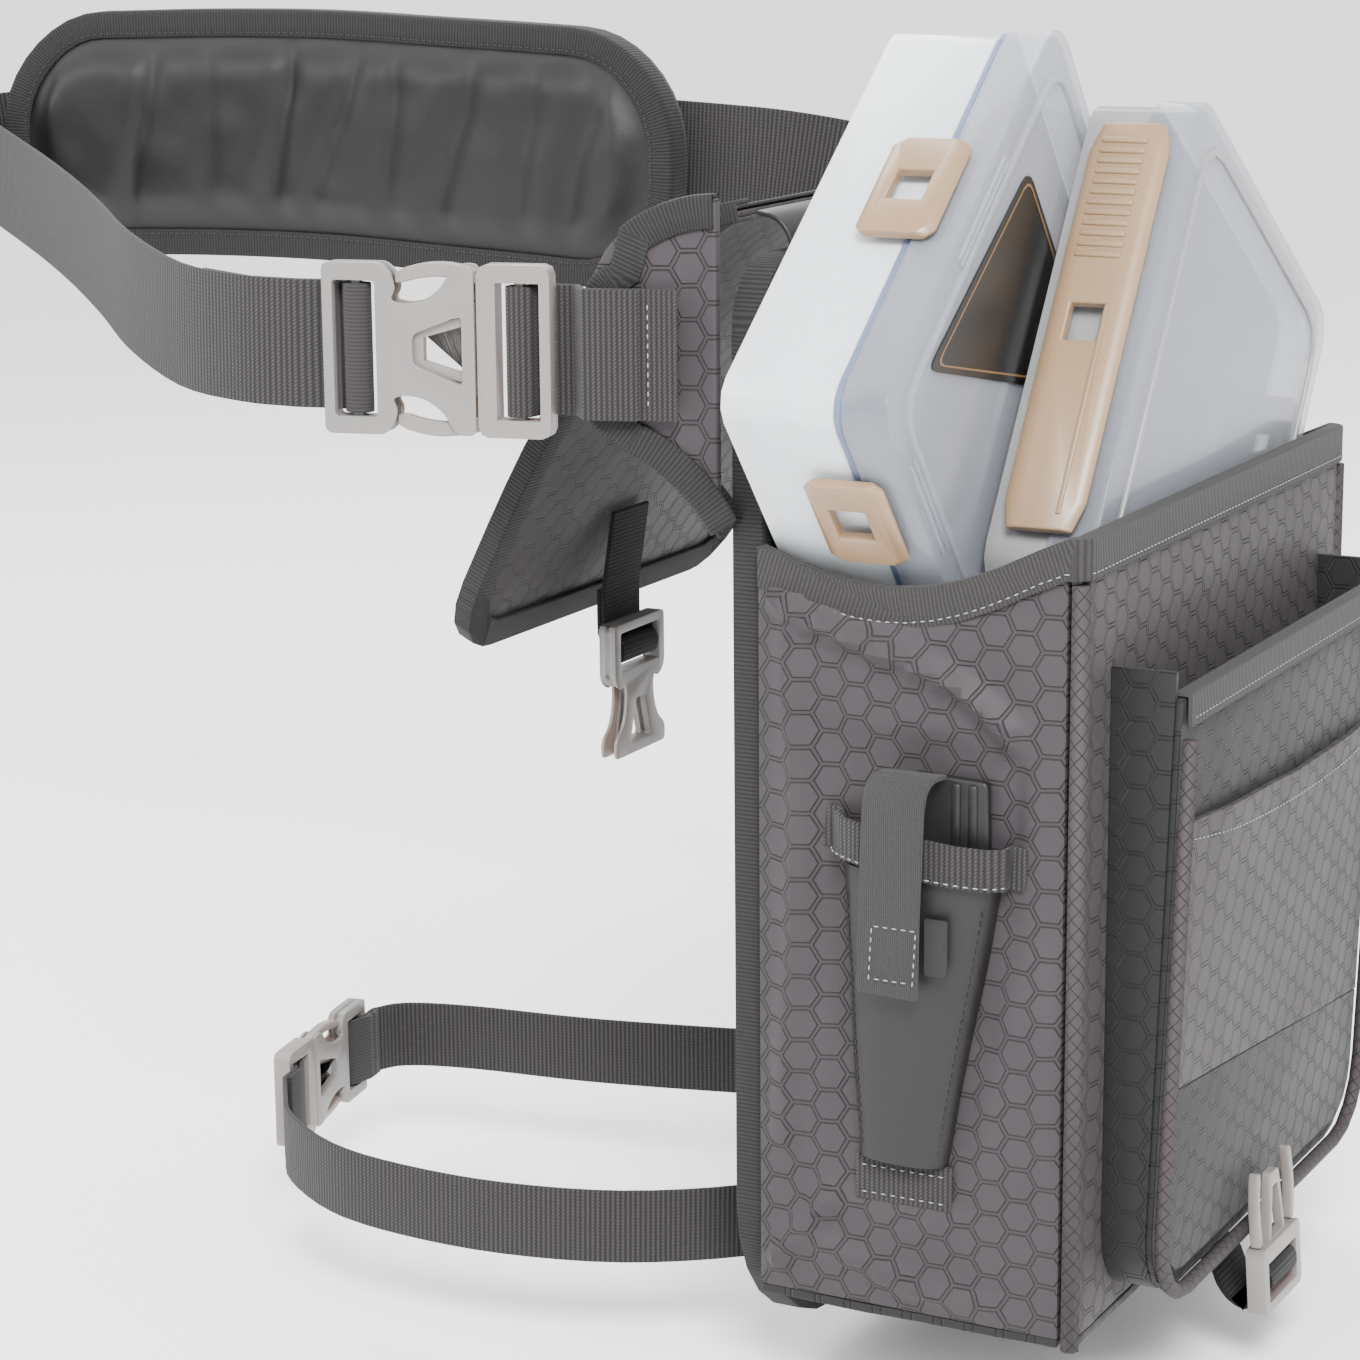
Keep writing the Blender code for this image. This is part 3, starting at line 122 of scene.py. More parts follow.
# ---------------------------------------------------------------- finishes
class Finish:
    """A procedural material: the shader, and short ways to add nodes in front of it."""

    def __init__(self, name, colour, rough, **sockets):
        self.material = bpy.data.materials.new(name)
        self.material.use_nodes = True
        self.tree = self.material.node_tree
        self.shader = self.tree.nodes["Principled BSDF"]
        self.set("Base Color", (*colour, 1.0))
        self.set("Roughness", rough)
        for key, value in sockets.items():
            self.set(key.replace("_", " "), value)
        self.heights = []

    def set(self, key, value):
        self.shader.inputs[key].default_value = value

    def wire(self, source, target):
        self.tree.links.new(source, target)

    def node(self, kind, **props):
        made = self.tree.nodes.new("ShaderNode" + kind)
        for key, value in props.items():
            setattr(made, key, value)
        return made

    def put(self, made, key, value):
        if isinstance(value, bpy.types.NodeSocket):
            self.wire(value, made.inputs[key])
        else:
            made.inputs[key].default_value = value

    def math(self, operation, a, b=0.0, c=0.0):
        made = self.node("Math", operation=operation)
        for key, value in enumerate((a, b, c)):
            self.put(made, key, value)
        return made.outputs[0]

    def vector(self, operation, a, b=(0, 0, 0), out=0):
        made = self.node("VectorMath", operation=operation)
        self.put(made, 0, a)
        self.put(made, 1, b)
        return made.outputs[out]

    def uv(self):
        return self.node("TexCoord").outputs["UV"]

    def place(self):
        return self.node("TexCoord").outputs["Object"]

    def split(self, vector):
        made = self.node("SeparateXYZ")
        self.wire(vector, made.inputs[0])
        return made.outputs[0], made.outputs[1], made.outputs[2]

    def cloud(self, scale, detail=3.0, vector=None, rough=0.55):
        made = self.node("TexNoise")
        self.wire(vector or self.place(), made.inputs["Vector"])
        self.put(made, "Scale", scale)
        self.put(made, "Detail", detail)
        self.put(made, "Roughness", rough)
        return made.outputs[0]

    def ramp(self, value, stops):
        """Shades of grey along a value, eased from stop to stop."""
        made = self.node("ValToRGB")
        made.color_ramp.interpolation = "EASE"
        points = made.color_ramp.elements
        while len(points) < len(stops):
            points.new(0.5)
        for point, (where, shade) in zip(points, stops):
            point.position = where
            point.color = (shade, shade, shade, 1.0)
        self.wire(value, made.inputs[0])
        return made.outputs[0]

    def wave(self, value, period):
        """A sine from 0 to 1 along a length in metres."""
        turn = self.math("MULTIPLY", value, 2 * math.pi / period)
        return self.math("MULTIPLY_ADD", self.math("SINE", turn), 0.5, 0.5)

    def colour(self, factor, low, high):
        """Mixes two colours by a factor and gives it to the shader."""
        mix = self.node("Mix", data_type="RGBA")
        self.wire(factor, mix.inputs[0])
        self.put(mix, 6, (*low, 1.0))
        self.put(mix, 7, (*high, 1.0))
        self.wire(mix.outputs[2], self.shader.inputs["Base Color"])

    def rough(self, factor, low, high):
        span = self.node("MapRange")
        self.wire(factor, span.inputs[0])
        self.put(span, 3, low)
        self.put(span, 4, high)
        self.wire(span.outputs[0], self.shader.inputs["Roughness"])

    def bump(self, height, distance, strength=1.0):
        self.heights.append((height, distance, strength))

    def done(self):
        before = None
        for height, distance, strength in self.heights:
            made = self.node("Bump")
            self.put(made, "Strength", strength)
            self.put(made, "Distance", distance)
            self.wire(height, made.inputs["Height"])
            if before:
                self.wire(before, made.inputs["Normal"])
            before = made.outputs[0]
        if before:
            self.wire(before, self.shader.inputs["Normal"])
        return self.material


def hex_distance(f, coordinate, period):
    """0 at the middle of a hexagon with flat top and bottom, 0.5 on its edges."""
    u, v, _ = f.split(coordinate)
    swapped = f.node("CombineXYZ")
    f.wire(f.math("DIVIDE", v, period), swapped.inputs[0])
    f.wire(f.math("DIVIDE", u, period), swapped.inputs[1])
    half = (0.5, math.sqrt(3) / 2, 0.0)

    def cell(offset):
        moved = f.vector("ADD", swapped.outputs[0], offset)
        made = f.node("VectorMath", operation="WRAP")
        f.wire(moved, made.inputs[0])
        f.put(made, 1, half)
        f.put(made, 2, tuple(-h for h in half))
        return f.vector("MULTIPLY", f.vector("ABSOLUTE", made.outputs[0]), (1, 1, 0))

    def reach(vector):
        x = f.split(vector)[0]
        slant = f.vector("DOT_PRODUCT", vector, (0.5, math.sqrt(3) / 2, 0), out=1)
        return f.math("MAXIMUM", x, slant)

    return f.math("MINIMUM", reach(cell((0, 0, 0))), reach(cell(half)))


def hex_fabric(name, light, dark, period=0.0104, sheen=0.03):
    f = Finish(name, light, 0.7, Sheen_Weight=sheen, Sheen_Roughness=0.5, Specular_IOR_Level=0.22)
    uv = f.uv()
    warp = f.cloud(28, 2)
    shift = f.vector("MULTIPLY", f.vector("ADD", warp, (-0.5, -0.5, -0.5)), (0.002, 0.002, 0))
    reach = hex_distance(f, f.vector("ADD", uv, shift), period)
    lines = f.ramp(f.math("MULTIPLY", reach, 2.0),
                   [(0.0, 1.0), (0.82, 1.0), (0.88, 0.0), (0.93, 0.7), (1.0, 0.75)])
    streak = f.node("TexNoise")
    f.wire(f.vector("MULTIPLY", uv, (300, 2600, 1)), streak.inputs["Vector"])
    f.put(streak, "Scale", 1.0)
    f.put(streak, "Detail", 2.0)
    worn = f.cloud(35, 4)
    tone = f.math("MULTIPLY_ADD", worn, 0.5, f.math("MULTIPLY", lines, 0.6))
    f.colour(f.math("MULTIPLY_ADD", streak.outputs[0], 0.12, tone), dark, light)
    f.rough(worn, 0.50, 0.72)
    f.bump(lines, 0.0007, 1.0)
    f.bump(streak.outputs[0], 0.0001, 0.5)
    f.bump(f.cloud(45, 3), 0.0012, 0.35)
    return f.done()


def ribbed_webbing(name, light, dark, pitch=0.00165, row=0.0012):
    f = Finish(name, light, 0.85, Sheen_Weight=0.06, Sheen_Roughness=0.6, Specular_IOR_Level=0.15)
    u, v, _ = f.split(f.uv())
    ribs = f.wave(u, pitch)
    lean = f.math("MULTIPLY_ADD", u, row / pitch, v)
    threads = f.wave(lean, row)
    cross = f.math("MULTIPLY", ribs, f.math("MULTIPLY_ADD", threads, 0.65, 0.35))
    hair = f.cloud(2500, 2)
    tone = f.math("MULTIPLY_ADD", hair, 0.30, f.math("MULTIPLY", cross, 0.85))
    f.colour(tone, dark, light)
    f.bump(cross, 0.00035, 0.9)
    f.bump(hair, 0.0001, 0.4)
    return f.done()


def ribbed_tape(name, light, dark, pitch=0.0013):
    f = Finish(name, light, 0.85, Sheen_Weight=0.05, Specular_IOR_Level=0.15)
    u, v, _ = f.split(f.uv())
    ribs, threads = f.wave(u, pitch), f.wave(v, 0.0007)
    both = f.math("MULTIPLY_ADD", threads, 0.25, f.math("MULTIPLY", ribs, 0.75))
    f.colour(f.math("MULTIPLY_ADD", f.cloud(900, 2), 0.3, f.math("MULTIPLY", both, 0.8)), dark, light)
    f.bump(both, 0.00025, 0.9)
    return f.done()


def crossed_cord(name, light, dark):
    """Fabric over a cord, with a diamond pattern of darker threads."""
    f = Finish(name, light, 0.7, Specular_IOR_Level=0.25)
    u, v, _ = f.split(f.uv())
    diamond = 0.0052
    threads = [f.math("ABSOLUTE", f.math("SINE", f.math("MULTIPLY", f.math(way, u, v), math.pi / diamond)))
               for way in ("ADD", "SUBTRACT")]
    lines = f.ramp(f.math("MINIMUM", *threads), [(0.0, 0.0), (0.20, 1.0), (1.0, 1.0)])
    f.colour(lines, dark, light)
    f.bump(lines, 0.0003, 0.7)
    return f.done()


def smooth_coat(name, colour, shade, grain=900.0, rough=(0.35, 0.55), depth=0.00012):
    """Coated cloth with a fine leather grain."""
    f = Finish(name, colour, 0.45, Specular_IOR_Level=0.3)
    cells = f.node("TexVoronoi", feature="DISTANCE_TO_EDGE")
    f.wire(f.place(), cells.inputs["Vector"])
    f.put(cells, "Scale", grain)
    worn = f.cloud(30, 4)
    f.colour(worn, shade, colour)
    f.rough(worn, *rough)
    f.bump(cells.outputs[0], depth, 0.5)
    f.bump(f.cloud(60, 3), 0.0008, 0.25)
    return f.done()


def moulded(name, colour, rough=0.38, **sockets):
    """Moulded plastic: a faint unevenness, and a satin skin."""
    f = Finish(name, colour, rough, **sockets)
    f.rough(f.cloud(70, 3), rough - 0.07, rough + 0.08)
    f.bump(f.cloud(420, 3), 0.00006, 0.4)
    return f.done()


def clear_plastic(name, colour, see_through, edge, rough=0.12):
    """Thin clear plastic that whitens towards its outline and along its edges."""
    f = Finish(name, colour, rough, Specular_IOR_Level=0.6)
    facing = f.node("LayerWeight")
    f.put(facing, "Blend", 0.45)
    span = f.node("MapRange")
    f.wire(facing.outputs["Facing"], span.inputs[0])
    f.put(span, 3, see_through)
    f.put(span, 4, edge)
    f.wire(span.outputs[0], f.shader.inputs["Alpha"])
    f.bump(f.cloud(90, 2), 0.0003, 0.12)
    return f.done()


GREY_HEX = hex_fabric("grey_hex_fabric", srgb(136, 125, 133), srgb(62, 56, 62))
DARK_HEX = hex_fabric("dark_hex_fabric", srgb(76, 74, 77), srgb(36, 35, 37), sheen=0.05)
GREY_WEB = ribbed_webbing("grey_webbing", srgb(156, 149, 154), srgb(44, 41, 44))
DARK_WEB = ribbed_webbing("dark_webbing", srgb(72, 71, 73), srgb(28, 28, 29), 0.0014, 0.001)
LOOP_WEB = ribbed_webbing("hook_and_loop", srgb(150, 147, 148), srgb(92, 90, 92), 0.0007, 0.0006)
TAPE = ribbed_tape("edge_tape", srgb(118, 117, 119), srgb(58, 57, 59))
PALE_TAPE = ribbed_tape("pale_edge_tape", srgb(146, 143, 141), srgb(84, 82, 82))
CORD = crossed_cord("cord_fabric", srgb(138, 126, 131), srgb(58, 52, 56))
PAD_FACE = smooth_coat("padding", srgb(74, 74, 77), srgb(48, 48, 50), 1500.0, (0.38, 0.6))
LINING = smooth_coat("smooth_lining", srgb(72, 71, 74), srgb(48, 47, 50), 1100.0, (0.3, 0.5))
SLEEVE = smooth_coat("sleeve_coat", srgb(86, 82, 86), srgb(62, 59, 62), 1300.0, (0.4, 0.6))
BUCKLE = moulded("buckle_plastic", srgb(200, 194, 189, 0.27), 0.34, Subsurface_Weight=0.05)
LATCH = moulded("latch_plastic", srgb(212, 174, 134, 0.34), 0.32, Subsurface_Weight=0.06)
WHITE = moulded("white_plastic", srgb(226, 226, 230, 0.72), 0.22, Subsurface_Weight=0.15, Coat_Weight=0.3)
CLEAR = clear_plastic("clear_plastic", srgb(196, 202, 214, 0.55), 0.20, 0.66)
MILKY = clear_plastic("milky_plastic", srgb(176, 176, 178, 0.6), 0.62, 0.95, 0.2)
INNER = clear_plastic("divider_plastic", srgb(150, 165, 196, 0.5), 0.35, 0.8, 0.15)
SEAL = moulded("gasket_rubber", srgb(120, 134, 170, 0.5), 0.5)
THREAD = moulded("stitching", srgb(214, 212, 210, 0.33), 0.7)
DARK_THREAD = moulded("dark_stitching", srgb(120, 117, 119), 0.8)
PLATE = moulded("blank_label", srgb(38, 36, 36), 0.4)
PLATE_EDGE = moulded("label_edge", srgb(170, 132, 84, 0.33), 0.4)


# ---------------------------------------------------------------- making pieces
def put(name, bm, finish, body, replaces=()):
    """Makes a piece of a mesh. A body of four parts (moving, still, start and end) is not blended: the
    piece only keeps its place in the world and is attached to no body.
    """
    mesh = bpy.data.meshes.new(name)
    bm.to_mesh(mesh)
    bm.free()
    obj = bpy.data.objects.new(name, mesh)
    bpy.context.scene.collection.objects.link(obj)
    mesh.materials.append(finish)
    mesh.shade_smooth()
    if isinstance(body, str):
        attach(obj, body)
    else:
        moving, still, start, end = body
        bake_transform(obj)
        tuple(start)
        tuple(end)
    if replaces:
        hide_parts(*replaces)
    return obj


def rounded(node, finish, body, radius=0.0006, segments=3):
    """A copy of a node with softened edges, in its place."""
    bm = bmesh.new()
    bm.from_mesh(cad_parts[node].data)
    bmesh.ops.remove_doubles(bm, verts=bm.verts, dist=0.00001)
    bmesh.ops.dissolve_limit(bm, angle_limit=math.radians(1.0), verts=bm.verts, edges=bm.edges)
    obj = put(node + "_rounded", bm, finish, body, [node])
    soften = obj.modifiers.new("edge", "BEVEL")
    soften.width, soften.segments, soften.limit_method = radius, segments, "ANGLE"
    soften.angle_limit = math.radians(30)
    soften.harden_normals = True
    return obj


def smooth(points, steps):
    points = [Vector(p) for p in points]
    ends = [2 * points[0] - points[1]] + points + [2 * points[-1] - points[-2]]
    curve = []
    for a, b, c, d in zip(ends, ends[1:], ends[2:], ends[3:]):
        for i in range(steps):
            t = i / steps
            curve.append(0.5 * ((2 * b) + (c - a) * t + (2 * a - 5 * b + 4 * c - d) * t * t
                                + (3 * b - a - 3 * c + d) * t ** 3))
    return curve + [points[-1]]


def tangents(path, closed=False):
    count = len(path)
    found = []
    for i in range(count):
        before = path[i - 1] if i or closed else path[i]
        after = path[(i + 1) % count] if i < count - 1 or closed else path[i]
        found.append((after - before).normalized())
    return found


def runs_of(path):
    runs = [0.0]
    for a, b in zip(path, path[1:]):
        runs.append(runs[-1] + (b - a).length)
    return runs


def sweep(name, profile, path, sides, finish, body, replaces=(), closed=False):
    """Extrudes a closed profile (a, b) along a path; b is along sides[i], a across it."""
    bm = bmesh.new()
    layer = bm.loops.layers.uv.new("UVMap")
    runs = runs_of(path)
    along = tangents(path, closed)
    girth = [0.0]
    for p, q in zip(profile, profile[1:] + profile[:1]):
        girth.append(girth[-1] + math.dist(p, q))

    def place(i):
        side = (sides[i] - sides[i].dot(along[i]) * along[i]).normalized()
        out = side.cross(along[i])
        return [path[i] + out * a + side * b for a, b in profile]

    verts = [bm.verts.new(p) for p in place(0)]
    first = list(verts)
    edges = [bm.edges.new((a, b)) for a, b in zip(verts, verts[1:] + verts[:1])]
    known = {v: (0, k) for k, v in enumerate(verts)}
    for i in range(1, len(path)):
        made = bmesh.ops.extrude_edge_only(bm, edges=edges)["geom"]
        fresh = {v for v in made if isinstance(v, bmesh.types.BMVert)}
        following = []
        for v in verts:
            following.append(next(e.other_vert(v) for e in v.link_edges if e.other_vert(v) in fresh))
        verts = following
        edges = [bm.edges.get((a, b)) for a, b in zip(verts, verts[1:] + verts[:1])]
        for k, (v, spot) in enumerate(zip(verts, place(i))):
            v.co = spot
            known[v] = (i, k)
    if closed:
        last = [bm.edges.get((a, b)) for a, b in zip(verts, verts[1:] + verts[:1])]
        start = [bm.edges.get((a, b)) for a, b in zip(first, first[1:] + first[:1])]
        bmesh.ops.bridge_loops(bm, edges=last + start)
    else:
        bmesh.ops.contextual_create(bm, geom=first)
        bmesh.ops.contextual_create(bm, geom=verts)
    count, top = len(path), len(profile)
    total = runs[-1] + (path[0] - path[-1]).length
    for face in bm.faces:
        rows = {known[l.vert][0] for l in face.loops}
        columns = {known[l.vert][1] for l in face.loops}
        for loop in face.loops:
            i, k = known[loop.vert]
            u = total if i == 0 and closed and count - 1 in rows else runs[i]
            v = girth[top] if k == 0 and top - 1 in columns and len(columns) == 2 else girth[k]
            loop[layer].uv = (u, v)
    bmesh.ops.recalc_face_normals(bm, faces=bm.faces)
    return put(name, bm, finish, body, replaces)


def tape_profile(sheet, wrap, thick=0.0012):
    """A folded edge tape: b is towards the edge, a across the sheet."""
    inner, outer = sheet / 2 + GAP, sheet / 2 + GAP + thick
    lip, top = thick * 0.4, GAP + thick
    return [(outer, -wrap + lip), (outer, -wrap * 0.5), (outer, -lip), (outer - lip, top - lip * 0.6),
            (outer * 0.5, top), (-outer * 0.5, top), (-outer + lip, top - lip * 0.6),
            (-outer, -lip), (-outer, -wrap * 0.5), (-outer, -wrap + lip), (-outer + lip, -wrap),
            (-inner, -wrap), (-inner, GAP * 0.5), (inner, GAP * 0.5), (inner, -wrap), (outer - lip, -wrap)]


def stitch_row(name, paths, body, finish=THREAD):
    """Short raised stitches along paths of points on a surface."""
    bm = bmesh.new()
    for path in paths:
        path = [Vector(p) for p in path]
        runs = runs_of(path)
        count = max(1, int(runs[-1] / STITCH_PITCH))
        for n in range(count):
            s = (n + 0.5) * runs[-1] / count
            i = max(k for k in range(len(path) - 1) if runs[k] <= s)
            step = path[i + 1] - path[i]
            spot = path[i] + step * ((s - runs[i]) / max(step.length, 1e-9))
            turn = step.to_track_quat("X", "Z").to_matrix().to_4x4()
            made = bmesh.ops.create_icosphere(bm, subdivisions=1, radius=STITCH_RADIUS)["verts"]
            bmesh.ops.scale(bm, verts=made, vec=(STITCH_LENGTH / STITCH_RADIUS / 2, 1, 1))
            bmesh.ops.transform(bm, verts=made, matrix=Matrix.Translation(spot) @ turn)
    return put(name, bm, finish, body)


def crease(place, *waves):
    """Soft random unevenness, the sum of noise at given sizes and heights."""
    return sum(noise.noise(Vector(place) / size) * height for size, height in waves)


# ---------------------------------------------------------------- outlines and lines shared with the frame
def arc(centre, radius, start, end, steps):
    turns = [math.radians(start + (end - start) * i / steps) for i in range(steps + 1)]
    return [(centre[0] + radius * math.cos(a), centre[1] + radius * math.sin(a)) for a in turns]


def round_box(left, right, low, high, radius, steps=6):
    """A rectangle's outline with round corners, anticlockwise."""
    corners = ((left + radius, low + radius, 180), (right - radius, low + radius, 270),
               (right - radius, high - radius, 0), (left + radius, high - radius, 90))
    points = []
    for x, y, start in corners:
        points += arc((x, y), radius, start, start + 90, steps)
    return points


def at_height(route, steps=8):
    return smooth([(x, y, BASE + z) for x, y, z in route], steps)


def rim_height(y):
    share = max(0.0, (y - FRONT - 0.007) / (BODY_DEPTH - 0.007))
    return BODY_HEIGHT - 0.010 * share - 0.014 * math.sin(math.pi * share)


def pocket_y(z):
    """Depth of the pocket's face at a height above the underside."""
    return FRONT - 0.016 - 0.007 * (z - 0.008) / 0.202


LID_LINE = smooth([(0, y, BASE + z) for y, z in (
    (0.0068, 0.3400), (0.0160, 0.3370), (0.0320, 0.3245), (0.0520, 0.3020), (0.0810, 0.2600),
    (0.1160, 0.1920))], 8)
ROOT_LINE = smooth([(0, y, BASE + z) for y, z in (
    (BACK - 0.0011, 0.252), (BACK - 0.0011, 0.300), (BACK - 0.0011, 0.322), (BACK + 0.0004, 0.3320),
    (BACK + 0.0049, 0.3380), (0.0006, 0.3398))], 6)
BELT = at_height([(-0.1623, 0.1290, 0.299), (-0.150, 0.155, 0.2995), (-0.139, 0.186, 0.301),
                  (-0.106, 0.230, 0.306), (-0.060, 0.276, 0.310), (-0.018, 0.320, 0.314),
                  (0.020, 0.363, 0.318), (0.046, 0.396, 0.322), (0.066, 0.424, 0.327),
                  (0.084, 0.4405, 0.332), (0.0970, 0.4425, 0.334), (0.1036, 0.4330, 0.335),
                  (0.1086, 0.4200, 0.336)])
PAD = at_height([(0.0930, 0.4340, 0.335), (0.1035, 0.4080, 0.338), (0.109, 0.3800, 0.339),
                 (0.112, 0.340, 0.340), (0.113, 0.290, 0.340), (0.112, 0.240, 0.338),
                 (0.110, 0.190, 0.336), (0.108, 0.137, 0.333)])
PAD_LENGTH = runs_of(PAD)[-1]
FAR = at_height([(0.119, 0.160, 0.3375), (0.1175, 0.125, 0.336), (0.119, 0.098, 0.334),
                 (0.127, 0.070, 0.329), (0.137, 0.046, 0.322), (0.1345, 0.024, 0.319),
                 (0.1305, 0.012, 0.318)])
THIGH_Z = 0.009  # above the underside
NEAR = at_height([(x, y, THIGH_Z - 0.005 * (1 - i / 8)) for i, (x, y) in enumerate((
    (-0.040, 0.0038), (-0.058, 0.0052), (-0.080, 0.0160), (-0.104, 0.0480), (-0.1165, 0.0870),
    (-0.1185, 0.1250), (-0.113, 0.1560), (-0.096, 0.1840), (-0.078, 0.1985)))])
THIGH_FAR = at_height([(x, y, THIGH_Z) for x, y in (
    (0.0140, 0.2240), (0.0250, 0.2130), (0.0330, 0.1880), (0.0400, 0.1400), (0.0540, 0.0840),
    (0.0680, 0.0380), (0.0860, 0.0088), (0.104, 0.0038))])


# ---------------------------------------------------------------- covering the frame's pieces
def onto_line(line, across, around=None, closed=False):
    """A mapping: how far along the line, and how far across it (or round it, at that radius)."""
    runs = runs_of(line + line[:1] if closed else line)
    spans = list(zip(line, line[1:] + line[:1])) if closed else list(zip(line, line[1:]))

    def mapping(p):
        best = None
        for i, (a, b) in enumerate(spans):
            step = b - a
            t = clamp((p - a).dot(step) / max(step.length_squared, 1e-12))
            foot = a + step * t
            away = (p - foot).length
            if best is None or away < best[0]:
                best = (away, runs[i] + step.length * t, p - foot, step)
        _, run, gap, step = best
        side = (across - across.project(step)).normalized()
        if around:
            return run, math.atan2(gap.dot(side), gap.dot(side.cross(step.normalized()))) * around
        return run, gap.dot(side)

    mapping.total = runs[-1] if closed else None
    return mapping


def onto_plane(a, b):
    a, b = Vector(a), Vector(b)

    def mapping(p):
        return p.dot(a), p.dot(b)

    mapping.total = None
    return mapping


FRONT_ON = onto_plane((1, 0, 0), (0, 0, 1))
SIDE_ON = onto_plane((0, 1, 0), (0, 0, 1))


def lay(bm, mapping, wrap=None):
    """Gives every corner its place on the cloth."""
    layer = bm.loops.layers.uv.verify()
    spots = {v: mapping(v.co) for v in bm.verts}
    span = mapping.total
    for face in bm.faces:
        us = [spots[loop.vert] for loop in face.loops]
        high_u, high_v = max(u for u, _ in us), max(v for _, v in us)
        for loop, (u, v) in zip(face.loops, us):
            if span and high_u - u > span / 2:
                u += span
            if wrap and high_v - v > wrap / 2:
                v += wrap
            loop[layer].uv = (u, v)


def slice_up(bm, axis, pitch):
    """Cuts a mesh across an axis every pitch, so that it can bend and swell."""
    index = "XYZ".index(axis)
    low = min(v.co[index] for v in bm.verts)
    high = max(v.co[index] for v in bm.verts)
    normal = [0, 0, 0]
    normal[index] = 1
    count = int((high - low) / pitch)
    for i in range(1, count + 1):
        spot = [0, 0, 0]
        spot[index] = low + (high - low) * i / (count + 1)
        bmesh.ops.bisect_plane(bm, geom=bm.verts[:] + bm.edges[:] + bm.faces[:], dist=1e-6,
                               plane_co=spot, plane_no=normal)


def clad(node, finish, body, mapping, edge=0.0005, pitch=None, shape=None, wrap=None, axes="XYZ"):
    """A node's own shape, merged, softened at its edges, laid out for cloth, and pushed about."""
    bm = bmesh.new()
    bm.from_mesh(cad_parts[node].data)
    bmesh.ops.remove_doubles(bm, verts=bm.verts, dist=0.00001)
    bmesh.ops.dissolve_limit(bm, angle_limit=math.radians(0.6), verts=bm.verts, edges=bm.edges)
    if pitch:
        for axis in axes:
            slice_up(bm, axis, pitch)
    lay(bm, mapping, wrap)
    if shape:
        bm.normal_update()
        moves = [(v, shape(v.co.copy(), v.normal.copy())) for v in bm.verts]
        for v, move in moves:
            v.co += move
    obj = put(node + "_cloth", bm, finish, body, [node])
    if edge:
        soften = obj.modifiers.new("edge", "BEVEL")
        soften.width, soften.segments, soften.limit_method = edge, 3, "ANGLE"
        soften.angle_limit = math.radians(55)
    return obj


# ---------------------------------------------------------------- the bag's body
def front_shape(p, n):
    """Soft unevenness of the front wall beside and above the pocket."""
    height = (p.z - BASE) / BODY_HEIGHT
    edge = min((0.115 - abs(p.x)) / 0.010, height / 0.05, (0.945 - height) / 0.03, 1.0)
    if edge <= 0 or height < 0.87 and abs(p.x) < 0.101:
        return Vector()
    return Vector((0, -max(0.0, 0.0009 + crease(p, (0.025, 0.0012))) * edge, 0))


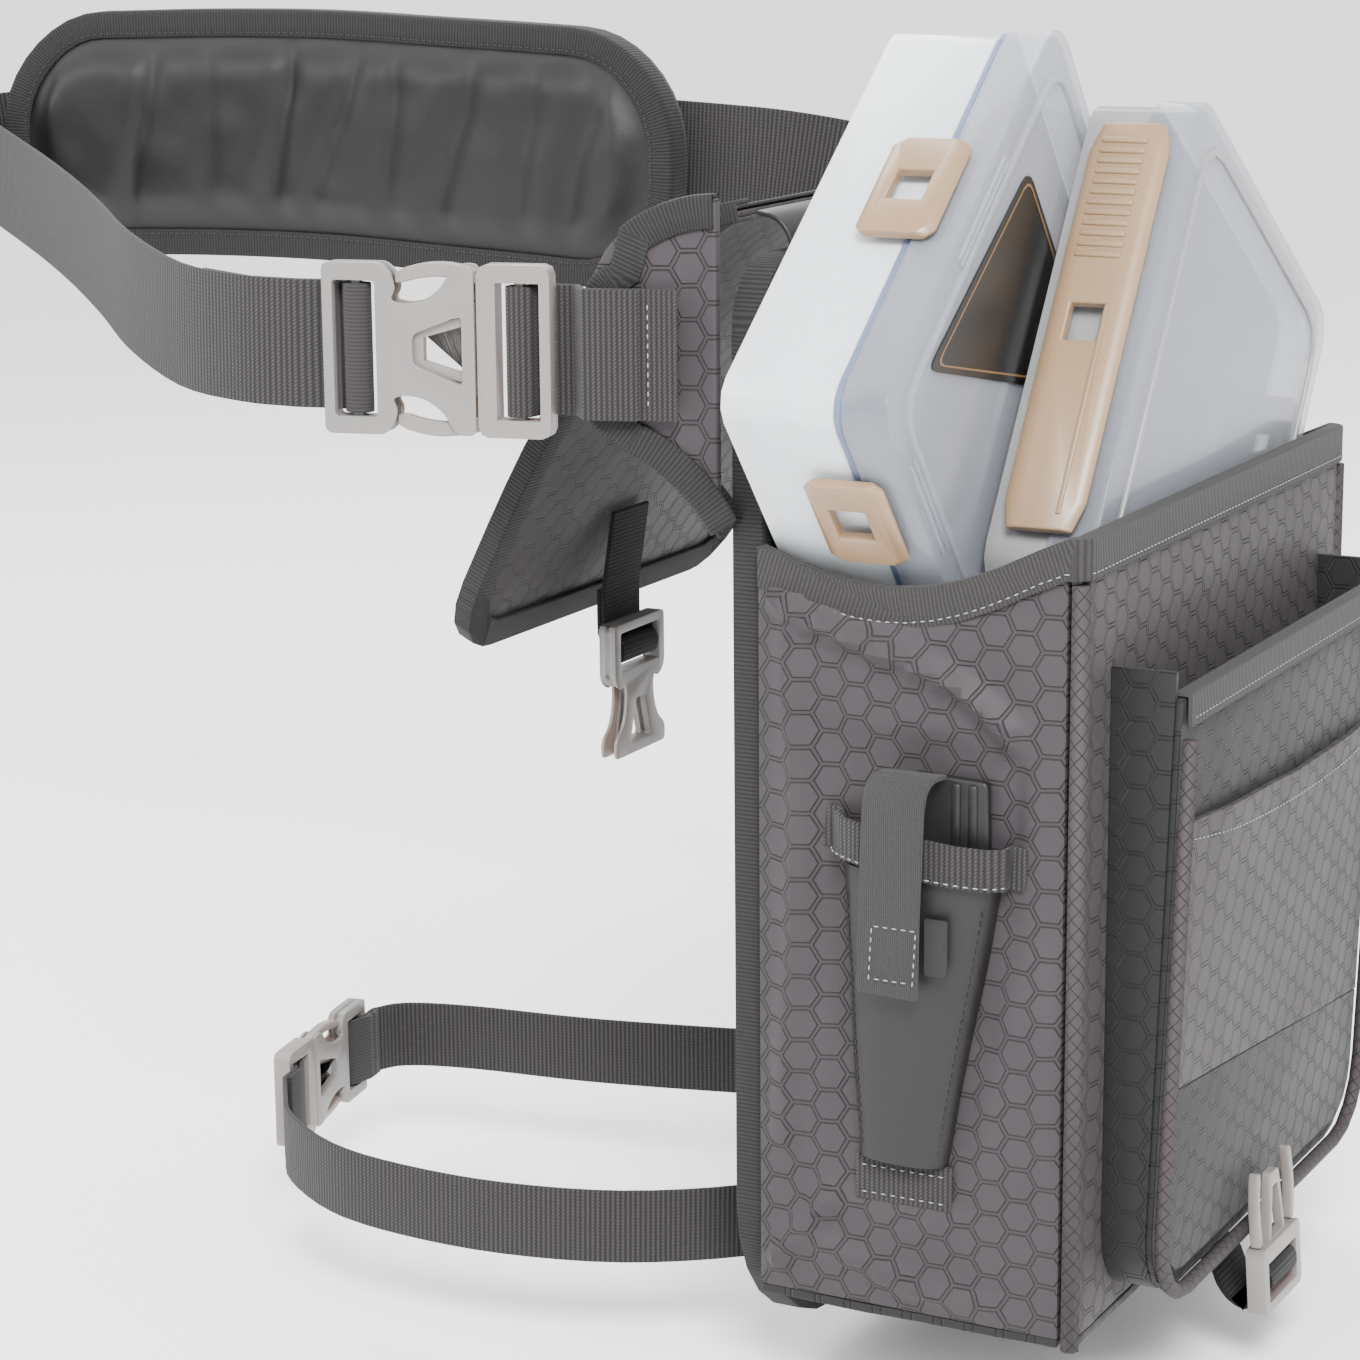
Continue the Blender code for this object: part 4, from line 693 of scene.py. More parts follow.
def bag_body():
    folds = (  # (distance from the hip panel, height) of each fold's crest, its height and its width
        (((0.04, 0.905), (0.26, 0.872), (0.48, 0.848), (0.66, 0.818), (0.79, 0.772), (0.84, 0.71),
          (0.83, 0.63), (0.80, 0.56)), 0.0062, 0.0032),
        (((0.04, 0.05), (0.14, 0.10), (0.24, 0.150), (0.30, 0.20)), 0.0056, 0.0034),
        (((0.20, 0.085), (0.45, 0.050), (0.74, 0.03)), 0.0036, 0.0040),
        (((0.09, 0.86), (0.13, 0.70), (0.12, 0.45), (0.08, 0.22)), 0.0034, 0.0042),
        (((0.93, 0.50), (0.90, 0.30), (0.93, 0.10)), 0.0018, 0.0035))

    def to_crest(point, crest):
        best = 1.0
        for (a, b), (c, d) in zip(crest, crest[1:]):
            one = Vector((a * BODY_DEPTH, b * BODY_HEIGHT))
            step = Vector((c * BODY_DEPTH, d * BODY_HEIGHT)) - one
            t = clamp((point - one).dot(step) / step.length_squared)
            best = min(best, (point - one - step * t).length)
        return best

    def side_shape(sign):
        def shape(p, n):
            z = p.z - BASE
            height, depth = z / BODY_HEIGHT, (p.y - FRONT) / BODY_DEPTH
            edge = min(height / 0.04, (0.955 - 0.05 * math.sin(math.pi * depth) - height) / 0.03,
                       (depth - 0.05) / 0.05, (0.985 - depth) / 0.04, 1.0)
            if edge <= 0:
                return Vector()
            # the wall stays flat under the holster: free is 1 where nothing is sewn on
            share = clamp((z - HOLSTER_FOOT) / HOLSTER_RISE)
            middle, half = HOLSTER_Y + HOLSTER_LEAN * (1 - share), 0.019 + 0.012 * share
            free = max(clamp((abs(p.y - middle) - half) / 0.008), clamp((0.042 - z) / 0.006),
                       clamp((z - 0.184) / 0.008))
            rise = math.sin(math.pi * clamp(height)) * math.sin(math.pi * depth)
            spot = Vector(((1 - depth) * BODY_DEPTH, height * BODY_HEIGHT))
            bulge = 0.0050 * rise + crease(p, (0.030, 0.0016), (0.012, 0.0005))
            for crest, high, wide in folds:
                bulge += high * math.exp(-(to_crest(spot, crest) / wide) ** 2)
            inner_face = 0.9 if n.x * sign <= -0.5 else 1.0
            return Vector((sign * max(0.0, bulge) * free * edge * inner_face, 0, 0))
        return shape

    for name, sign in (("side_panel_left", -1), ("side_panel_right", 1)):
        clad(name, GREY_HEX, "bag", SIDE_ON, pitch=0.0034,
             axes="YZ", shape=side_shape(sign))
    clad("front_panel", GREY_HEX, "bag", FRONT_ON, pitch=0.006,
         axes="XZ", shape=front_shape)
    clad("bottom_panel", DARK_HEX, "bag", onto_plane((1, 0, 0), (0, 1, 0)),
         pitch=0.012, axes="XY", shape=lambda p, n: Vector((0, 0, crease(p, (0.03, 0.0006)))))
    for name, sign in (("piping_left", -1), ("piping_right", 1)):
        x, y = sign * (SIDE - WALL / 2), FRONT + WALL / 2
        line = [Vector((x, y, BASE + 0.004 + i * 0.004)) for i in range(60)]
        clad(name, CORD, "bag", onto_line(line, Vector((1, 0, 0)), around=0.003),
             edge=0, wrap=0.0188)
    x, y = SIDE - WALL / 2, FRONT + WALL / 2
    turn = 0.0036
    left = [(-x, BACK - (BACK - y - turn) * i / 12) for i in range(12)]
    left += arc((-x + turn, y + turn), turn, 180, 270, 4)
    mouth = [Vector((a, b, BASE + rim_height(b))) for a, b in left + [(-a, b) for a, b in left[::-1]]]
    clad("rim_tape", PALE_TAPE, "bag", onto_line(mouth, Z), edge=0.0005)
    outer = []
    drop = Vector((0, 0, 0.0085))
    for p in mouth[1:-1]:
        out = Vector((math.copysign(1, p.x), 0, 0)) if abs(p.x) > x - 0.001 else Vector((0, -1, 0))
        outer.append(p - drop + out * (WALL / 2 + 0.0017))
    stitch_row("rim_stitches", [outer], "bag")


def hip_panel():
    half, low, high = 0.115, BASE - 0.022, BASE + 0.326
    corner_line = arc((-half + 0.05, low + 0.05), 0.05, 180, 270, 8)
    corner_line += arc((half - 0.02, low + 0.02), 0.02, 270, 360, 6)
    corner_line += arc((half - 0.02, high - 0.02), 0.02, 0, 90, 6)
    corner_line += arc((-half + 0.05, high - 0.05), 0.05, 90, 180, 8)
    edge = [Vector((a, -0.0055, b)) for a, b in corner_line]
    clad("hip_cover", GREY_HEX, "bag", FRONT_ON)
    clad("hip_tape", TAPE, "bag", onto_line(edge, Vector((0, 1, 0)), closed=True))
    stitches = []
    for side in (-HIP_THICK - 0.0017, -0.0003):
        inner = [Vector((a * (1 - 0.0078 / half), side, (b - (low + high) / 2) * (1 - 0.0078 / 0.174)
                         + (low + high) / 2)) for a, b in corner_line]
        stitches.append(inner + inner[:1])
    stitch_row("hip_stitches", stitches, "bag", DARK_THREAD)


def the_lid():
    line = onto_line(LID_LINE, X)
    clad("lid_shell", GREY_HEX, "lid", exchanged(line))
    clad("lid_lining", LINING, "lid", line)
    clad("lid_root", LINING, "bag", onto_line(ROOT_LINE, X))
    clad("lid_tape", TAPE, "lid", edge_mapping())


def exchanged(mapping):
    """A mapping with its two directions exchanged."""
    def turned(p):
        u, v = mapping(p)
        return v, u
    turned.total = None
    return turned


def edge_mapping():
    """Along the lid's hem: down one side, round the end and up the other."""
    line = onto_line(LID_LINE, Vector((1, 0, 0)))
    total = runs_of(LID_LINE)[-1]

    def mapping(p):
        u, v = line(p)
        if total - u > 0.014:
            return (u if v < 0 else 2 * total + 0.19 - u), v
        return total + v, u
    mapping.total = None
    return mapping


# ---------------------------------------------------------------- belts
WINGS = (("left", -1, WING_LEFT_Z), ("right", 1, WING_RIGHT_Z))
STRAP_X = -0.010  # the short straps of the lid and of the pocket


def wing_route(side, z):
    """A wing's curve from the hip panel's edge to the belt, seen from above."""
    return smooth([(side * x, y, z) for x, y in (
        (0.1190, 0.0022), (0.1200, 0.0100), (0.1240, 0.0240), (0.1290, 0.0420))], 6)


def belts():
    for name, side, middle in WINGS:
        clad(f"wing_{name}", GREY_HEX, "bag", onto_line(wing_route(side, BASE + middle), Z),
             edge=0.0012)
    loop = [Vector((x, y, BASE + WING_LEFT_Z))
            for x, y in ((-0.13, 0.01), (-0.1345, 0.051), (-0.139, 0.070))]
    waist = ("waist_female", "bag", (-0.147, 0.168, 0.150), (-0.060, 0.276, 0.158))
    thigh = ("thigh_female", "bag", (0.021, 0.217, -0.141), (0.042, 0.130, -0.141))
    for name, body, line in (("wing_webbing", "bag", loop), ("waist_belt", waist, BELT),
                             ("waist_belt_far", "bag", FAR), ("thigh_strap_near", "bag", NEAR),
                             ("thigh_strap_far", thigh, THIGH_FAR)):
        clad(name, GREY_WEB, body, onto_line(line, Z))
    drop = [(0.0935, 0.230), (0.0935, 0.10)]
    under = [(FRONT + 0.03, 0.0), (FRONT - 0.010, -0.003), (FRONT - 0.027, -0.012), (FRONT - 0.026, 0.02)]
    for name, body, line in (("lid_strap", "lid_strap", drop), ("pocket_strap", "bag", under)):
        route = [Vector((STRAP_X, y, BASE + z)) for y, z in line]
        clad(name, DARK_WEB, body, onto_line(route, X))


def lumbar_pad():
    pad = onto_line(PAD, Z)
    clad("lumbar_cover", GREY_HEX, "bag", pad)
    lumbar()


# ---------------------------------------------------------------- the front pocket and the holster
def slip_shape(p, n):
    """The slip pocket's free upper edge stands off the face a little."""
    high, edge = clamp((p.z - BASE - 0.085) / 0.07), clamp((0.0905 - abs(p.x)) / 0.03)
    return Vector((0, -(0.0022 * high * edge + max(0.0, crease(p, (0.03, 0.0010))) * edge), 0))


def front_pocket():
    clad("pocket_face", DARK_HEX, "bag", FRONT_ON)
    clad("pocket_gusset", DARK_HEX, "bag", onto_plane((0, 1, 0), (0.3, 0, 1)))
    clad("pocket_slip", GREY_HEX, "bag", FRONT_ON, pitch=0.005, axes="XZ", shape=slip_shape)
    clad("pocket_insert", DARK_HEX, "bag", FRONT_ON)
    clad("pocket_tape", PALE_TAPE, "bag", FRONT_ON)
    line = [(-0.098, 0.190)] + arc((-0.074, 0.032), 0.024, 180, 270, 8)
    line += arc((0.074, 0.032), 0.024, 270, 360, 8) + [(0.098, 0.190)]
    cord = [Vector((a, pocket_y(z) - 0.0033, BASE + z)) for a, z in line]
    clad("pocket_piping", CORD, "bag", onto_line(cord, Vector((0, 1, 0)), around=0.0025),
         edge=0, wrap=0.0157)


def holster():
    clad("holster_sleeve", SLEEVE, "bag", SIDE_ON, pitch=0.008, axes="Z",
         shape=lambda p, n: n * crease(p, (0.02, 0.0005)))
    clad("holster_band", GREY_WEB, "bag", SIDE_ON)
    clad("holster_patch", GREY_WEB, "bag", SIDE_ON)
    clad("holster_strap", LOOP_WEB, "holster_strap", SIDE_ON)


# ---------------------------------------------------------------- plastic pieces
def plastics():
    for node, body in (("waist_male", "bag"), ("thigh_male", "bag"), ("pocket_male", "pocket_buckle")):
        rounded(node, BUCKLE, body, 0.0007)
    waist = buckle_frame((-0.1345, 0.0510, BASE + WING_LEFT_Z), (-0.233, 0.972, 0), (-0.972, -0.233, 0))
    thigh = buckle_frame((-0.0600, 0.2120, BASE + THIGH_Z), (0.985, 0.174, 0), (-0.174, 0.985, 0),
                         SMALL_STRETCH)
    length = BUCKLE_LENGTH * buckle_scale(THIGH_WEB) * SMALL_STRETCH
    hanging = buckle_frame((STRAP_X, 0.0935, BASE + 0.2290 - 0.040 - length), (0, 0, 1), (0, -1, 0),
                           SMALL_STRETCH)
    hollow_half("waist_female", WAIST_WEB, waist, "waist_female")
    hollow_half("thigh_female", THIGH_WEB, thigh, "thigh_female")
    hollow_half("lid_female", THIGH_WEB, hanging, "lid_strap")
    for name in ("waist_prong_upper", "waist_prong_lower", "thigh_prong_upper", "thigh_prong_lower",
                 "pocket_prong_left", "pocket_prong_right"):
        rounded(name, BUCKLE, name, 0.0006)
    for name in ("deep_latch_left", "deep_latch_right", "deep_latch_near", "deep_latch_far",
                 "slim_latch_bar", "slim_latch_right"):
        rounded(name, LATCH, name, 0.0007)
    rounded("deep_box_base", WHITE, "deep_box", 0.0020, 4)
    rounded("deep_box_lid", CLEAR, "deep_box", 0.0016, 3)
    rounded("deep_box_seal", SEAL, "deep_box", 0.0004, 2)
    rounded("deep_dividers", INNER, "deep_box", 0.0003, 2)
    rounded("slim_box_base", MILKY, "slim_box", 0.0016, 3)
    rounded("slim_box_lid", CLEAR, "slim_box", 0.0016, 3)


def box_frame(place, tilt):
    return Matrix.Translation(place) @ Matrix.Rotation(math.radians(tilt), 4, "Y")


DEEP = box_frame((-0.1570, BACK - 0.0027, BASE + 0.2910), 51)
SLIM = box_frame(Vector((-0.0030, BACK - 0.0605, BASE + 0.3740))
                 - Vector((math.sin(math.radians(33)), 0, math.cos(math.radians(33)))) * 0.168, 33)


# ---------------------------------------------------------------- flat mouldings
def cutout(loops, thick, soft, level=0.0):
    """A plate with holes: closed outlines in a plane, given a thickness and rounded edges."""
    curve = bpy.data.curves.new("plate", "CURVE")
    curve.dimensions, curve.fill_mode = "2D", "BOTH"
    curve.extrude, curve.bevel_depth, curve.offset = thick / 2 - soft, soft, -soft
    curve.bevel_resolution = 2
    for outline in loops:
        spline = curve.splines.new("POLY")
        spline.points.add(len(outline) - 1)
        for spot, (a, b) in zip(spline.points, outline):
            spot.co = (a, b, 0, 1)
        spline.use_cyclic_u = True
    helper = bpy.data.objects.new("plate", curve)
    bpy.context.scene.collection.objects.link(helper)
    mesh = bpy.data.meshes.new_from_object(helper.evaluated_get(bpy.context.evaluated_depsgraph_get()))
    bpy.data.objects.remove(helper)
    bm = bmesh.new()
    bm.from_mesh(mesh)
    bmesh.ops.remove_doubles(bm, verts=bm.verts, dist=0.000005)
    bmesh.ops.recalc_face_normals(bm, faces=bm.faces)
    bmesh.ops.translate(bm, verts=bm.verts, vec=(0, 0, level))
    return bm


def gathered(parts, turn):
    """Several small meshes as one, moved into place."""
    whole = bmesh.new()
    for part in parts:
        mesh = bpy.data.meshes.new("part")
        part.to_mesh(mesh)
        part.free()
        whole.from_mesh(mesh)
    whole.transform(turn)
    if turn.determinant() < 0:
        bmesh.ops.reverse_faces(whole, faces=whole.faces)
    return whole


def edged(obj, limit=35):
    obj.data.set_sharp_from_angle(angle=math.radians(limit))
    return obj


def softened(outline, radius):
    """A closed outline with its corners cut round."""
    points = [Vector((*p, 0)) for p in outline]
    found = []
    for before, here, after in zip(points[-1:] + points[:-1], points, points[1:] + points[:1]):
        reach = min(radius, (before - here).length * 0.45, (after - here).length * 0.45)
        a = here + (before - here).normalized() * reach
        b = here + (after - here).normalized() * reach
        for t in (0, 0.33, 0.67, 1):
            mid = a.lerp(here, t).lerp(here.lerp(b, t), t)
            found.append((mid.x, mid.y))
    return found


def buckle_frame(origin, along, face, stretch=1.0):
    along = Vector(along).normalized()
    face = Vector(face)
    face = (face - face.dot(along) * along).normalized()
    turn = Matrix((along, face.cross(along), face)).transposed().to_4x4()
    return Matrix.Translation(origin) @ turn @ Matrix.Diagonal((stretch, 1, 1, 1))


def buckle_scale(web):
    """A buckle's size for this webbing, against the wide one's drawing."""
    return (web / 2 + 0.0035 + 0.075 * web) / BUCKLE_HALF


def hollow_half(node, web, turn, body):
    """The hollow half of a side-release buckle: a frame for the webbing, a neck and two cheeks."""
    k = buckle_scale(web)
    thick = 0.0040 + 0.0035 * k
    end = BUCKLE_LENGTH * k

    def mirrored(side):
        line = [(u * k, v * k) for u, v in side]
        return line + [(u, -v) for u, v in reversed(line)]

    frame_end = [(0.0535, BUCKLE_HALF), (BUCKLE_LENGTH, BUCKLE_HALF)]
    cheeks = mirrored([(0.0240, 0.0262), (0.0305, 0.0262), (0.0345, 0.0190), (0.0400, 0.0152),
                       (0.0465, 0.0140), (0.0510, 0.0152), (0.0490, 0.0185), (0.0502, 0.0232)]
                      + frame_end)
    core = mirrored([(0.0240, 0.0155), (0.030, 0.0142), (0.044, 0.0098), (0.0515, 0.0103),
                     (0.0505, 0.018), (0.0503, 0.0225)] + frame_end)
    window = [(0.0282 * k, -0.0108 * k), (0.0282 * k, 0.0108 * k), (0.0440 * k, 0.0046 * k),
              (0.0440 * k, -0.0046 * k)]
    wide = web / 2 + 0.001
    slots = [[(end - b * k, -wide), (end - a * k, -wide), (end - a * k, wide), (end - b * k, wide)]
             for a, b in ((0.0034, 0.0088), (0.0118, 0.0172))]
    whole = [(end - 0.0172 * k, -wide), (end - 0.0034 * k, -wide), (end - 0.0034 * k, wide),
             (end - 0.0172 * k, wide)]
    r = 0.0026 * k
    holes = [softened(window, r * 0.7), softened(whole, r * 0.5)]
    parts = [cutout([softened(core, r), holes[0]] + [softened(s, r * 0.4) for s in slots], 0.0030, 0.0006),
             cutout([softened(core, r)] + holes, thick - 0.0008, 0.0004)]
    room = 0.0028 * k
    skin = thick / 2 - room
    for side in (-1, 1):
        parts.append(cutout([softened(cheeks, r)] + holes, skin, min(0.0004, skin * 0.35),
                            side * (room + skin / 2)))
    bm = gathered(parts, turn)
    edged(put(node + "_moulded", bm, BUCKLE, body, [node]))


# ---------------------------------------------------------------- details
def along_line(line, run):
    runs = runs_of(line)
    run = max(0.0, min(run, runs[-1] - 1e-6))
    i = max(k for k in range(len(line) - 1) if runs[k] <= run)
    step = line[i + 1] - line[i]
    return line[i] + step * ((run - runs[i]) / step.length), step.normalized()


def pad_spot(run, height, out):
    """A point of the lumbar pad, from its place laid flat."""
    inside = max(0.0, min(run, PAD_LENGTH))
    point, step = along_line(PAD, inside)
    normal = Z.cross(step).normalized()
    return point + step * (run - inside) + Z * height + normal * out


def pad_outline(inset=0.0):
    """The lumbar pad's outline laid flat, with a point at least every 12 mm."""
    half = PAD_HALF - inset
    corners = round_box(inset, PAD_LENGTH - inset, -half, half, PAD_CORNER - inset, 9)
    line = []
    for (a, b), (c, d) in zip(corners, corners[1:] + corners[:1]):
        count = int(math.dist((a, b), (c, d)) / 0.012) + 1
        line += [(a + (c - a) * i / count, b + (d - b) * i / count) for i in range(count)]
    return line


def lumbar():
    """The tape round the pad behind the waist, round both its creased soft face and its cover, and the
    stitches beside it.
    """
    rim = pad_outline()
    path = [pad_spot(a, b, 0) for a, b in rim]
    sides = []
    for a, b in rim:
        corner_a = max(PAD_CORNER, min(PAD_LENGTH - PAD_CORNER, a))
        corner_b = max(-PAD_STRAIGHT, min(PAD_STRAIGHT, b))
        spread = Vector((a - corner_a, b - corner_b, 0))
        _, step = along_line(PAD, a)
        sides.append((step * spread.x + Z * spread.y).normalized())
    sweep("lumbar_binding", tape_profile(0.0101, 0.0090), path, sides, TAPE, "bag",
          ["lumbar_tape"], closed=True)
    for side in (-0.0068, 0.0068):
        row = [pad_spot(a, b, side) for a, b in pad_outline(0.0074)]
        stitch_row("lumbar_stitches", [row + row[:1]], "bag", DARK_THREAD)


def stuffed(node, finish, spare, pressure, most, shape):
    """A soft copy of a foam board, blown up as cloth and then creased."""
    bm = bmesh.new()
    bm.from_mesh(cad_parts[node].data)
    bmesh.ops.remove_doubles(bm, verts=bm.verts, dist=0.00001)
    bm.normal_update()
    obj = put(node + "_soft", bm, finish, "bag", [node])
    mesher = obj.modifiers.new("mesh", "REMESH")
    mesher.mode, mesher.voxel_size = "VOXEL", 0.0040
    settle(obj)
    start = [v.co.copy() for v in obj.data.vertices]
    normals = [v.normal.copy() for v in obj.data.vertices]
    cloth = obj.modifiers.new("cloth", "CLOTH")
    cloth.settings.use_pressure = True
    cloth.settings.uniform_pressure_force = pressure
    cloth.settings.effector_weights.gravity = 0
    cloth.settings.quality = 3
    for number in range(1, 21):
        bpy.context.scene.frame_set(number)
    settle(obj)
    bpy.context.scene.frame_set(1)
    for v, was, normal in zip(obj.data.vertices, start, normals):
        move = v.co - was
        if move.length > most:
            move = move.normalized() * most
        v.co = was + move * spare(was) + shape(was, normal)
    fine = obj.modifiers.new("fine", "SUBSURF")
    fine.levels = fine.render_levels = 1
    settle(obj)
    obj.data.shade_smooth()
    return obj


def settle(obj):
    """Makes a piece's modifiers part of its mesh."""
    held = bpy.context.evaluated_depsgraph_get()
    mesh = bpy.data.meshes.new_from_object(obj.evaluated_get(held))
    obj.modifiers.clear()
    obj.data = mesh
    obj.data.shade_smooth()


def soft_foam():
    """The two padded faces: how far each may swell, and its sewn creases."""
    line = onto_line(PAD, Z)

    def free(u, v):
        end = min(u, PAD_LENGTH - u)
        edge = min(end, PAD_HALF - abs(v))
        corner = Vector((max(PAD_CORNER - end, 0), max(abs(v) - PAD_STRAIGHT, 0), 0)).length
        if corner > 0 and end < PAD_CORNER:
            edge = min(edge, PAD_CORNER - corner)
        return clamp((edge - 0.0105) / 0.010)

    def spare(p):
        u, v = line(p)
        return free(u, v)

    def creased(p, n):
        u, v = line(p)
        inside = free(u, v)
        if n.dot(Z.cross(along_line(PAD, u)[1])) > 0:
            return n * -0.0010
        deep = 0.0
        for where, wide, lean, depth in ((0.06, 0.0045, 0.10, 0.0030), (0.092, 0.005, -0.15, 0.0022),
                                         (0.125, 0.0050, 0.05, 0.0034), (0.150, 0.0045, 0.22, 0.0026),
                                         (0.176, 0.005, -0.1, 0.0030), (0.205, 0.006, 0.12, 0.0034),
                                         (0.238, 0.005, -0.05, 0.0024), (0.262, 0.006, 0.08, 0.0030)):
            deep += depth * math.exp(-((u - where - lean * v - 0.004 * math.sin(v * 60)) / wide) ** 2)
        return n * (inside * (0.0032 - 1.25 * deep + crease(p, (0.016, 0.0012))) - 0.0004)

    stuffed("lumbar_foam", PAD_FACE, spare, 4.0, 0.0030, creased)

    def board_spare(p):
        edge = min(0.115 - abs(p.x), p.z - BASE + 0.022, BASE + 0.326 - p.z)
        clear = 1.0 if p.z > BASE + 0.06 and p.z < BASE + 0.30 else 0.0
        return clamp((edge - 0.013) / 0.012) * clear * (1.0 if p.y > -0.003 else 0.0)

    def board_shape(p, n):
        if n.y < 0.5:
            return n * -0.0002
        channel = sum(math.exp(-((p.z - BASE - at) / 0.0035) ** 2) for at in (0.085, 0.160, 0.235))
        return n * board_spare(p) * (crease(p, (0.02, 0.0009)) - 0.0022 * channel)

    stuffed("hip_foam", PAD_FACE, board_spare, 3.0, 0.0024, board_shape)


def wing_edges():
    """Tape along the edges of both wings."""
    corner = 0.012
    for name, side, middle in WINGS:
        route = wing_route(side, 0)
        total = runs_of(route)[-1]
        low_line, high_line = [], []
        for i in range(15):
            run = 0.001 + (total - 0.013) * i / 14
            share = run / total
            point, _ = along_line(route, run)
            ease = math.sin(math.pi / 2 * share) ** 0.8
            low = 0.242 + (middle - WING_END_HALF - 0.242) * ease
            high = 0.346 + (middle + WING_END_HALF - 0.346) * share ** 2.2
            low_line.append(point + Z * (BASE + low))
            high_line.append(point + Z * (BASE + high))
        end_low, end_high = middle - WING_END_HALF, middle + WING_END_HALF
        turn = []
        for angle in range(15, 90, 15):
            point, _ = along_line(route, total - corner + corner * math.sin(math.radians(angle)))
            turn.append((point, corner * (1 - math.cos(math.radians(angle)))))
        tip, _ = along_line(route, total)
        path = high_line + [p + Z * (BASE + end_high - d) for p, d in turn]
        path += [tip + Z * (BASE + end_high - corner - i * 0.0058) for i in range(6)]
        path += [p + Z * (BASE + end_low + d) for p, d in turn[::-1]] + low_line[::-1]
        sides = []
        for step in tangents(path):
            level = Vector((step.x, step.y, 0)) if step.xy.length > 0.2 else Vector((0.1 * side, 1, 0))
            normal = Z.cross(level)
            sides.append(normal.normalized().cross(step).normalized())
        middle_point = sum(path, Vector()) / len(path)
        sides = [s if s.dot(p - middle_point) > 0 else -s for s, p in zip(sides, path)]
        sweep(f"wing_tape_{name}", tape_profile(0.0041, 0.0090, 0.0010), path, sides, TAPE, "bag")


def plate_on(name, outline, turn, thick, soft, finish, body, holes=()):
    bm = gathered([cutout([outline, *holes], thick, soft)], turn)
    return edged(put(name, bm, finish, body))


def facing(origin, along, face):
    along, face = Vector(along).normalized(), Vector(face).normalized()
    turn = Matrix((along, face.cross(along), face)).transposed().to_4x4()
    return Matrix.Translation(origin) @ turn


def bars(name, spots, size, turn, finish, body):
    """A row of small raised bars with rounded edges."""
    bm = bmesh.new()
    for spot in spots:
        made = bmesh.ops.create_cube(bm, size=1.0)["verts"]
        bmesh.ops.scale(bm, verts=made, vec=size)
        bmesh.ops.translate(bm, verts=made, vec=spot)
    bmesh.ops.bevel(bm, geom=bm.edges[:], offset=min(size) * 0.42, affect="EDGES", segments=2,
                    profile=0.5, material=-1)
    bm.transform(turn)
    return edged(put(name, bm, finish, body), 50)


def box_details():
    label = softened([(0.0140, 0.0300), (0.0800, 0.0860), (0.0800, 0.1210), (0.0200, 0.1210)], 0.006)
    border = softened([(0.0166, 0.0345), (0.0780, 0.0872), (0.0780, 0.1190), (0.0218, 0.1190)], 0.005)
    border_in = softened([(0.0172, 0.0357), (0.0773, 0.0876), (0.0773, 0.1183), (0.0223, 0.1183)], 0.005)
    upright = Matrix(((1, 0, 0, 0), (0, 0, -1, 0), (0, 1, 0, 0), (0, 0, 0, 1)))
    face = DEEP @ Matrix.Translation((0, -0.0551, 0)) @ upright
    plate_on("label_plate", label, face @ Matrix.Translation((0, 0, 0.0003)), 0.0006, 0.0001, PLATE,
             "deep_box")
    plate_on("label_border", border, face @ Matrix.Translation((0, 0, 0.0007)), 0.0002, 0.00004,
             PLATE_EDGE, "deep_box", [border_in])
    ridge = softened([(0.009, 0.009), (0.219, 0.009), (0.219, 0.160), (0.009, 0.160)], 0.014)
    ridge_in = softened([(0.0115, 0.0115), (0.2165, 0.0115), (0.2165, 0.1575), (0.0115, 0.1575)], 0.013)
    plate_on("deep_lid_ridge", ridge, face, 0.0018, 0.0005, CLEAR, "deep_box",
             [ridge_in])
    spots = [(0.0040 + 0.0026 * i, 0.0879 - 0.0005, 0.0004) for i in range(3)]
    bars("deep_lid_ribs", spots, (0.0010, 0.044, 0.0014), face, CLEAR, "deep_box")
    spots = [(0.046, 0.0040 + 0.0026 * i, 0.0004) for i in range(2)]
    bars("deep_lid_end_ribs", spots, (0.038, 0.0010, 0.0014), face, CLEAR, "deep_box")
    face = SLIM @ Matrix.Translation((0, -0.0361, 0)) @ upright
    ridge = softened([(0.013, 0.008), (0.152, 0.008), (0.152, 0.160), (0.013, 0.160)], 0.016)
    ridge_in = softened([(0.0152, 0.0102), (0.1498, 0.0102), (0.1498, 0.1578), (0.0152, 0.1578)], 0.015)
    plate_on("slim_lid_ridge", ridge, face, 0.0016, 0.0005, MILKY, "slim_box",
             [ridge_in])
    spots = [(-0.0047, -0.0165, 0.1465 - 0.0036 * i) for i in range(12)]
    bars("slim_latch_ribs", spots, (0.0012, 0.0150, 0.0020), SLIM, LATCH, "slim_latch_bar")
    bars("slim_latch_groove", [(-0.0047, -0.0236, 0.055)], (0.0010, 0.0016, 0.070), SLIM, LATCH,
         "slim_latch_bar")


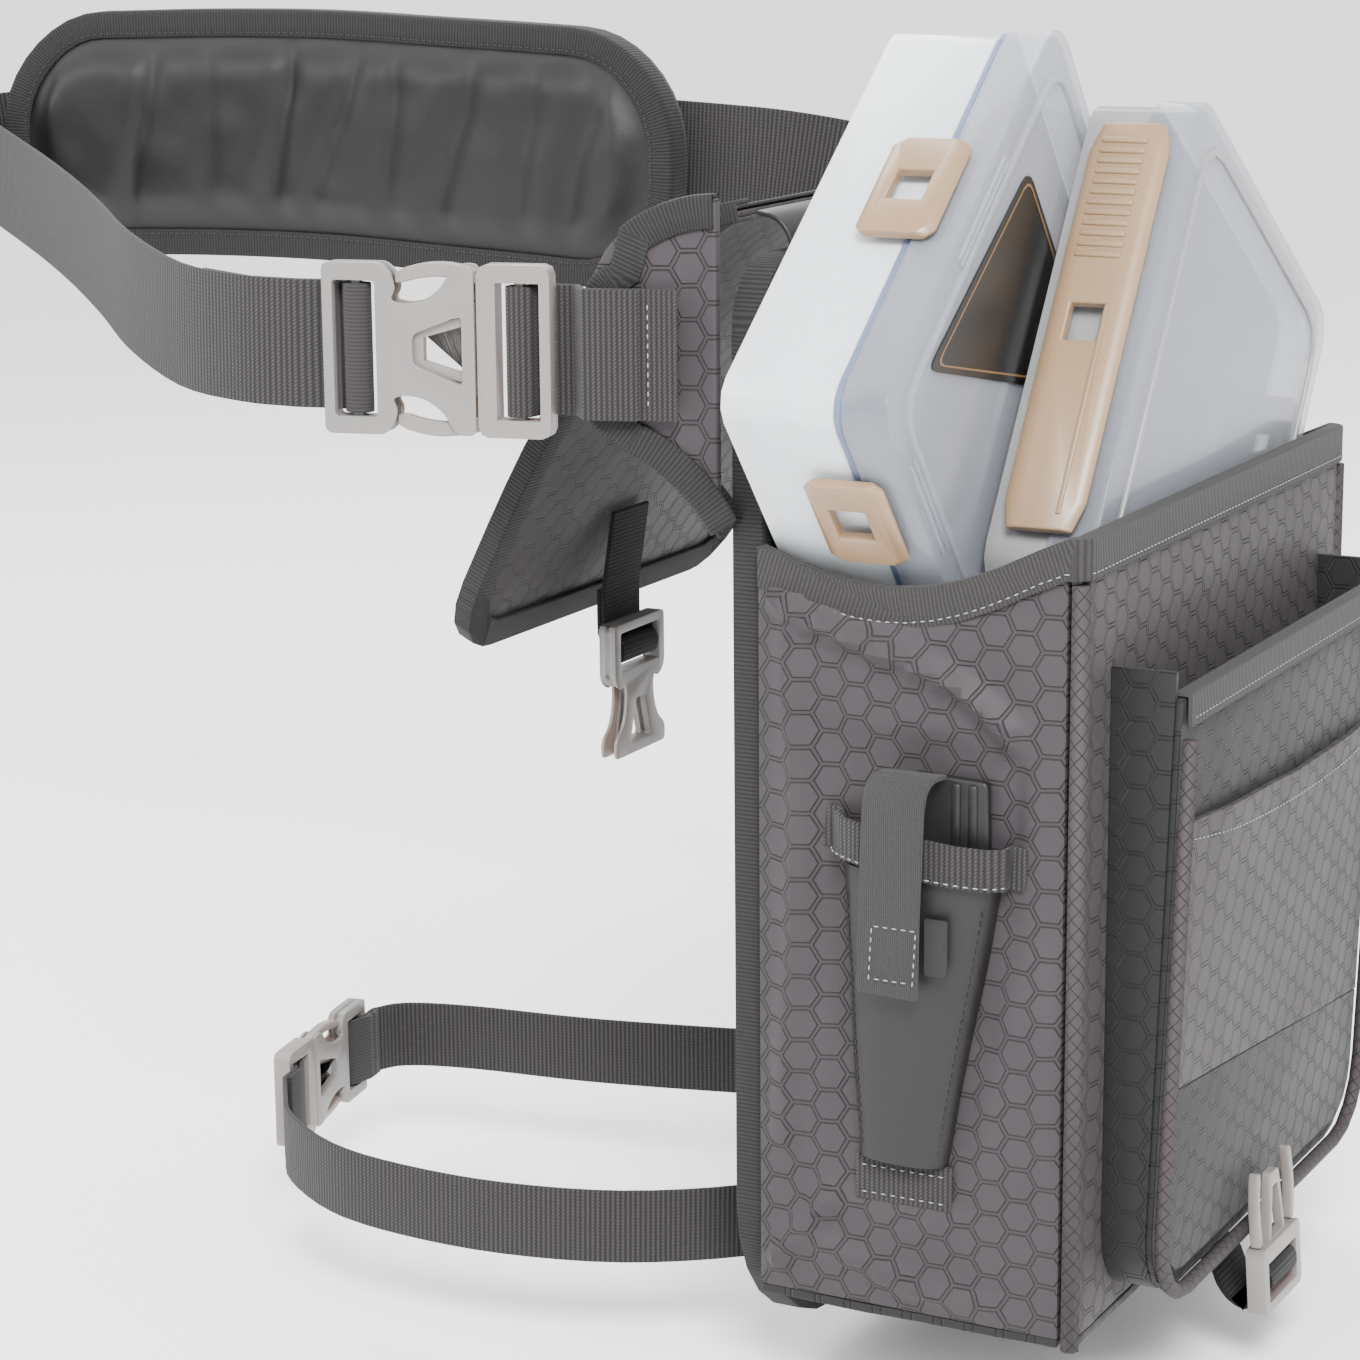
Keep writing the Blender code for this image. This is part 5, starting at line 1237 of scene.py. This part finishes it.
def holster_details():
    wall = -SIDE
    turn = facing((wall - 0.0026, HOLSTER_Y - 0.0085, BASE + 0.1655), (0, -1, 0), (-1, 0, 0))
    flap = softened([(-0.0115, -0.0110), (0.0135, -0.0105), (0.0130, 0.0115), (-0.0120, 0.0125)], 0.002)
    plate_on("holster_flap", flap, turn, 0.0034, 0.0010, SLEEVE, "bag")
    bars("holster_folds", [(0.0030, 0, 0.0016), (0.0085, 0.0, 0.0016)], (0.0030, 0.021, 0.0022), turn,
         SLEEVE, "bag")
    turn = facing((wall - 0.0142, HOLSTER_Y - 0.0098, BASE + 0.127), (0, -1, 0), (-1, 0, 0))
    plate_on("hook_patch", softened([(-0.004, -0.009), (0.0035, -0.009), (0.0035, 0.009), (-0.004, 0.009)],
                                    0.001), turn, 0.0012, 0.0003, LOOP_WEB, "bag")
    band = []
    for angle in range(10, 171, 8):
        sine, cosine = math.sin(math.radians(angle)), math.cos(math.radians(angle))
        band.append(Vector((wall - 0.0166 * sine ** 0.6 - 0.0004, HOLSTER_Y + 0.0292 * cosine,
                            BASE + 0.1492 + 0.0034 * 0.0292 * cosine / 0.033)))
    foot, x = HOLSTER_Y + HOLSTER_LEAN, wall - WEB - 0.0006
    patch = [[Vector((x, foot + y, BASE + z)) for y in (0.0145, -0.0145)] for z in (0.0500, 0.0412)]
    stitch_row("holster_stitches", [band] + patch, "bag")
    sides = []
    for side in (-1, 1):
        line = []
        for i in range(13):
            share = 0.04 + 0.86 * i / 12
            whole = 0.0145 + 0.0115 * share
            half, rise = whole - 0.0022, 0.007 + 0.006 * share
            place = math.acos(half / whole)
            line.append(Vector((wall - 0.0003 - rise * math.sin(place) ** 0.7 - 0.0002,
                                HOLSTER_Y + HOLSTER_LEAN * (1 - share) + side * half,
                                BASE + HOLSTER_FOOT + HOLSTER_RISE * share)))
        sides.append(line)
    stitch_row("sleeve_stitches", sides, "bag", PLATE)
    y, out = HOLSTER_Y + 0.002, wall - 0.0030 - (0.0130 + 0.0032 + 0.0009 - 0.0016) - 0.0012
    box = [Vector((out + 0.0003, y + a, BASE + z)) for a, z in (
        (0.0072, 0.1330), (0.0082, 0.1165), (-0.0062, 0.1165), (-0.0072, 0.1330), (0.0072, 0.1330))]
    stitch_row("strap_stitches", [box], "holster_strap")


def other_stitches():
    slip = []
    for i in range(25):
        x = -0.088 + 0.176 * i / 24
        y = pocket_y(0.152) - 0.0026 - 0.0022 * min(1, (0.0905 - abs(x)) / 0.03)
        slip.append(Vector((x, y, BASE + 0.1545 - 0.0052 * (1 - (x / 0.0915) ** 2) - 0.003 * x / 0.0915)))
    mouth = [Vector((x, pocket_y(0.200) - 0.0020, BASE + 0.1955)) for x in (-0.092, 0.0, 0.092)]
    stitch_row("pocket_stitches", [slip, mouth], "bag")
    face = Vector((-0.972, -0.233, 0)).normalized()
    spot = Vector((-0.1232 - 0.0035, 0.0215, BASE + WING_LEFT_Z)) + face * 0.0038
    stitch_row("wing_stitches", [[spot + Z * 0.016, spot - Z * 0.016]], "bag")


def build():
    set_camera()
    set_light()
    bag_body()
    hip_panel()
    the_lid()
    belts()
    lumbar_pad()
    front_pocket()
    holster()
    plastics()
    wing_edges()
    box_details()
    holster_details()
    other_stitches()
    soft_foam()


build()
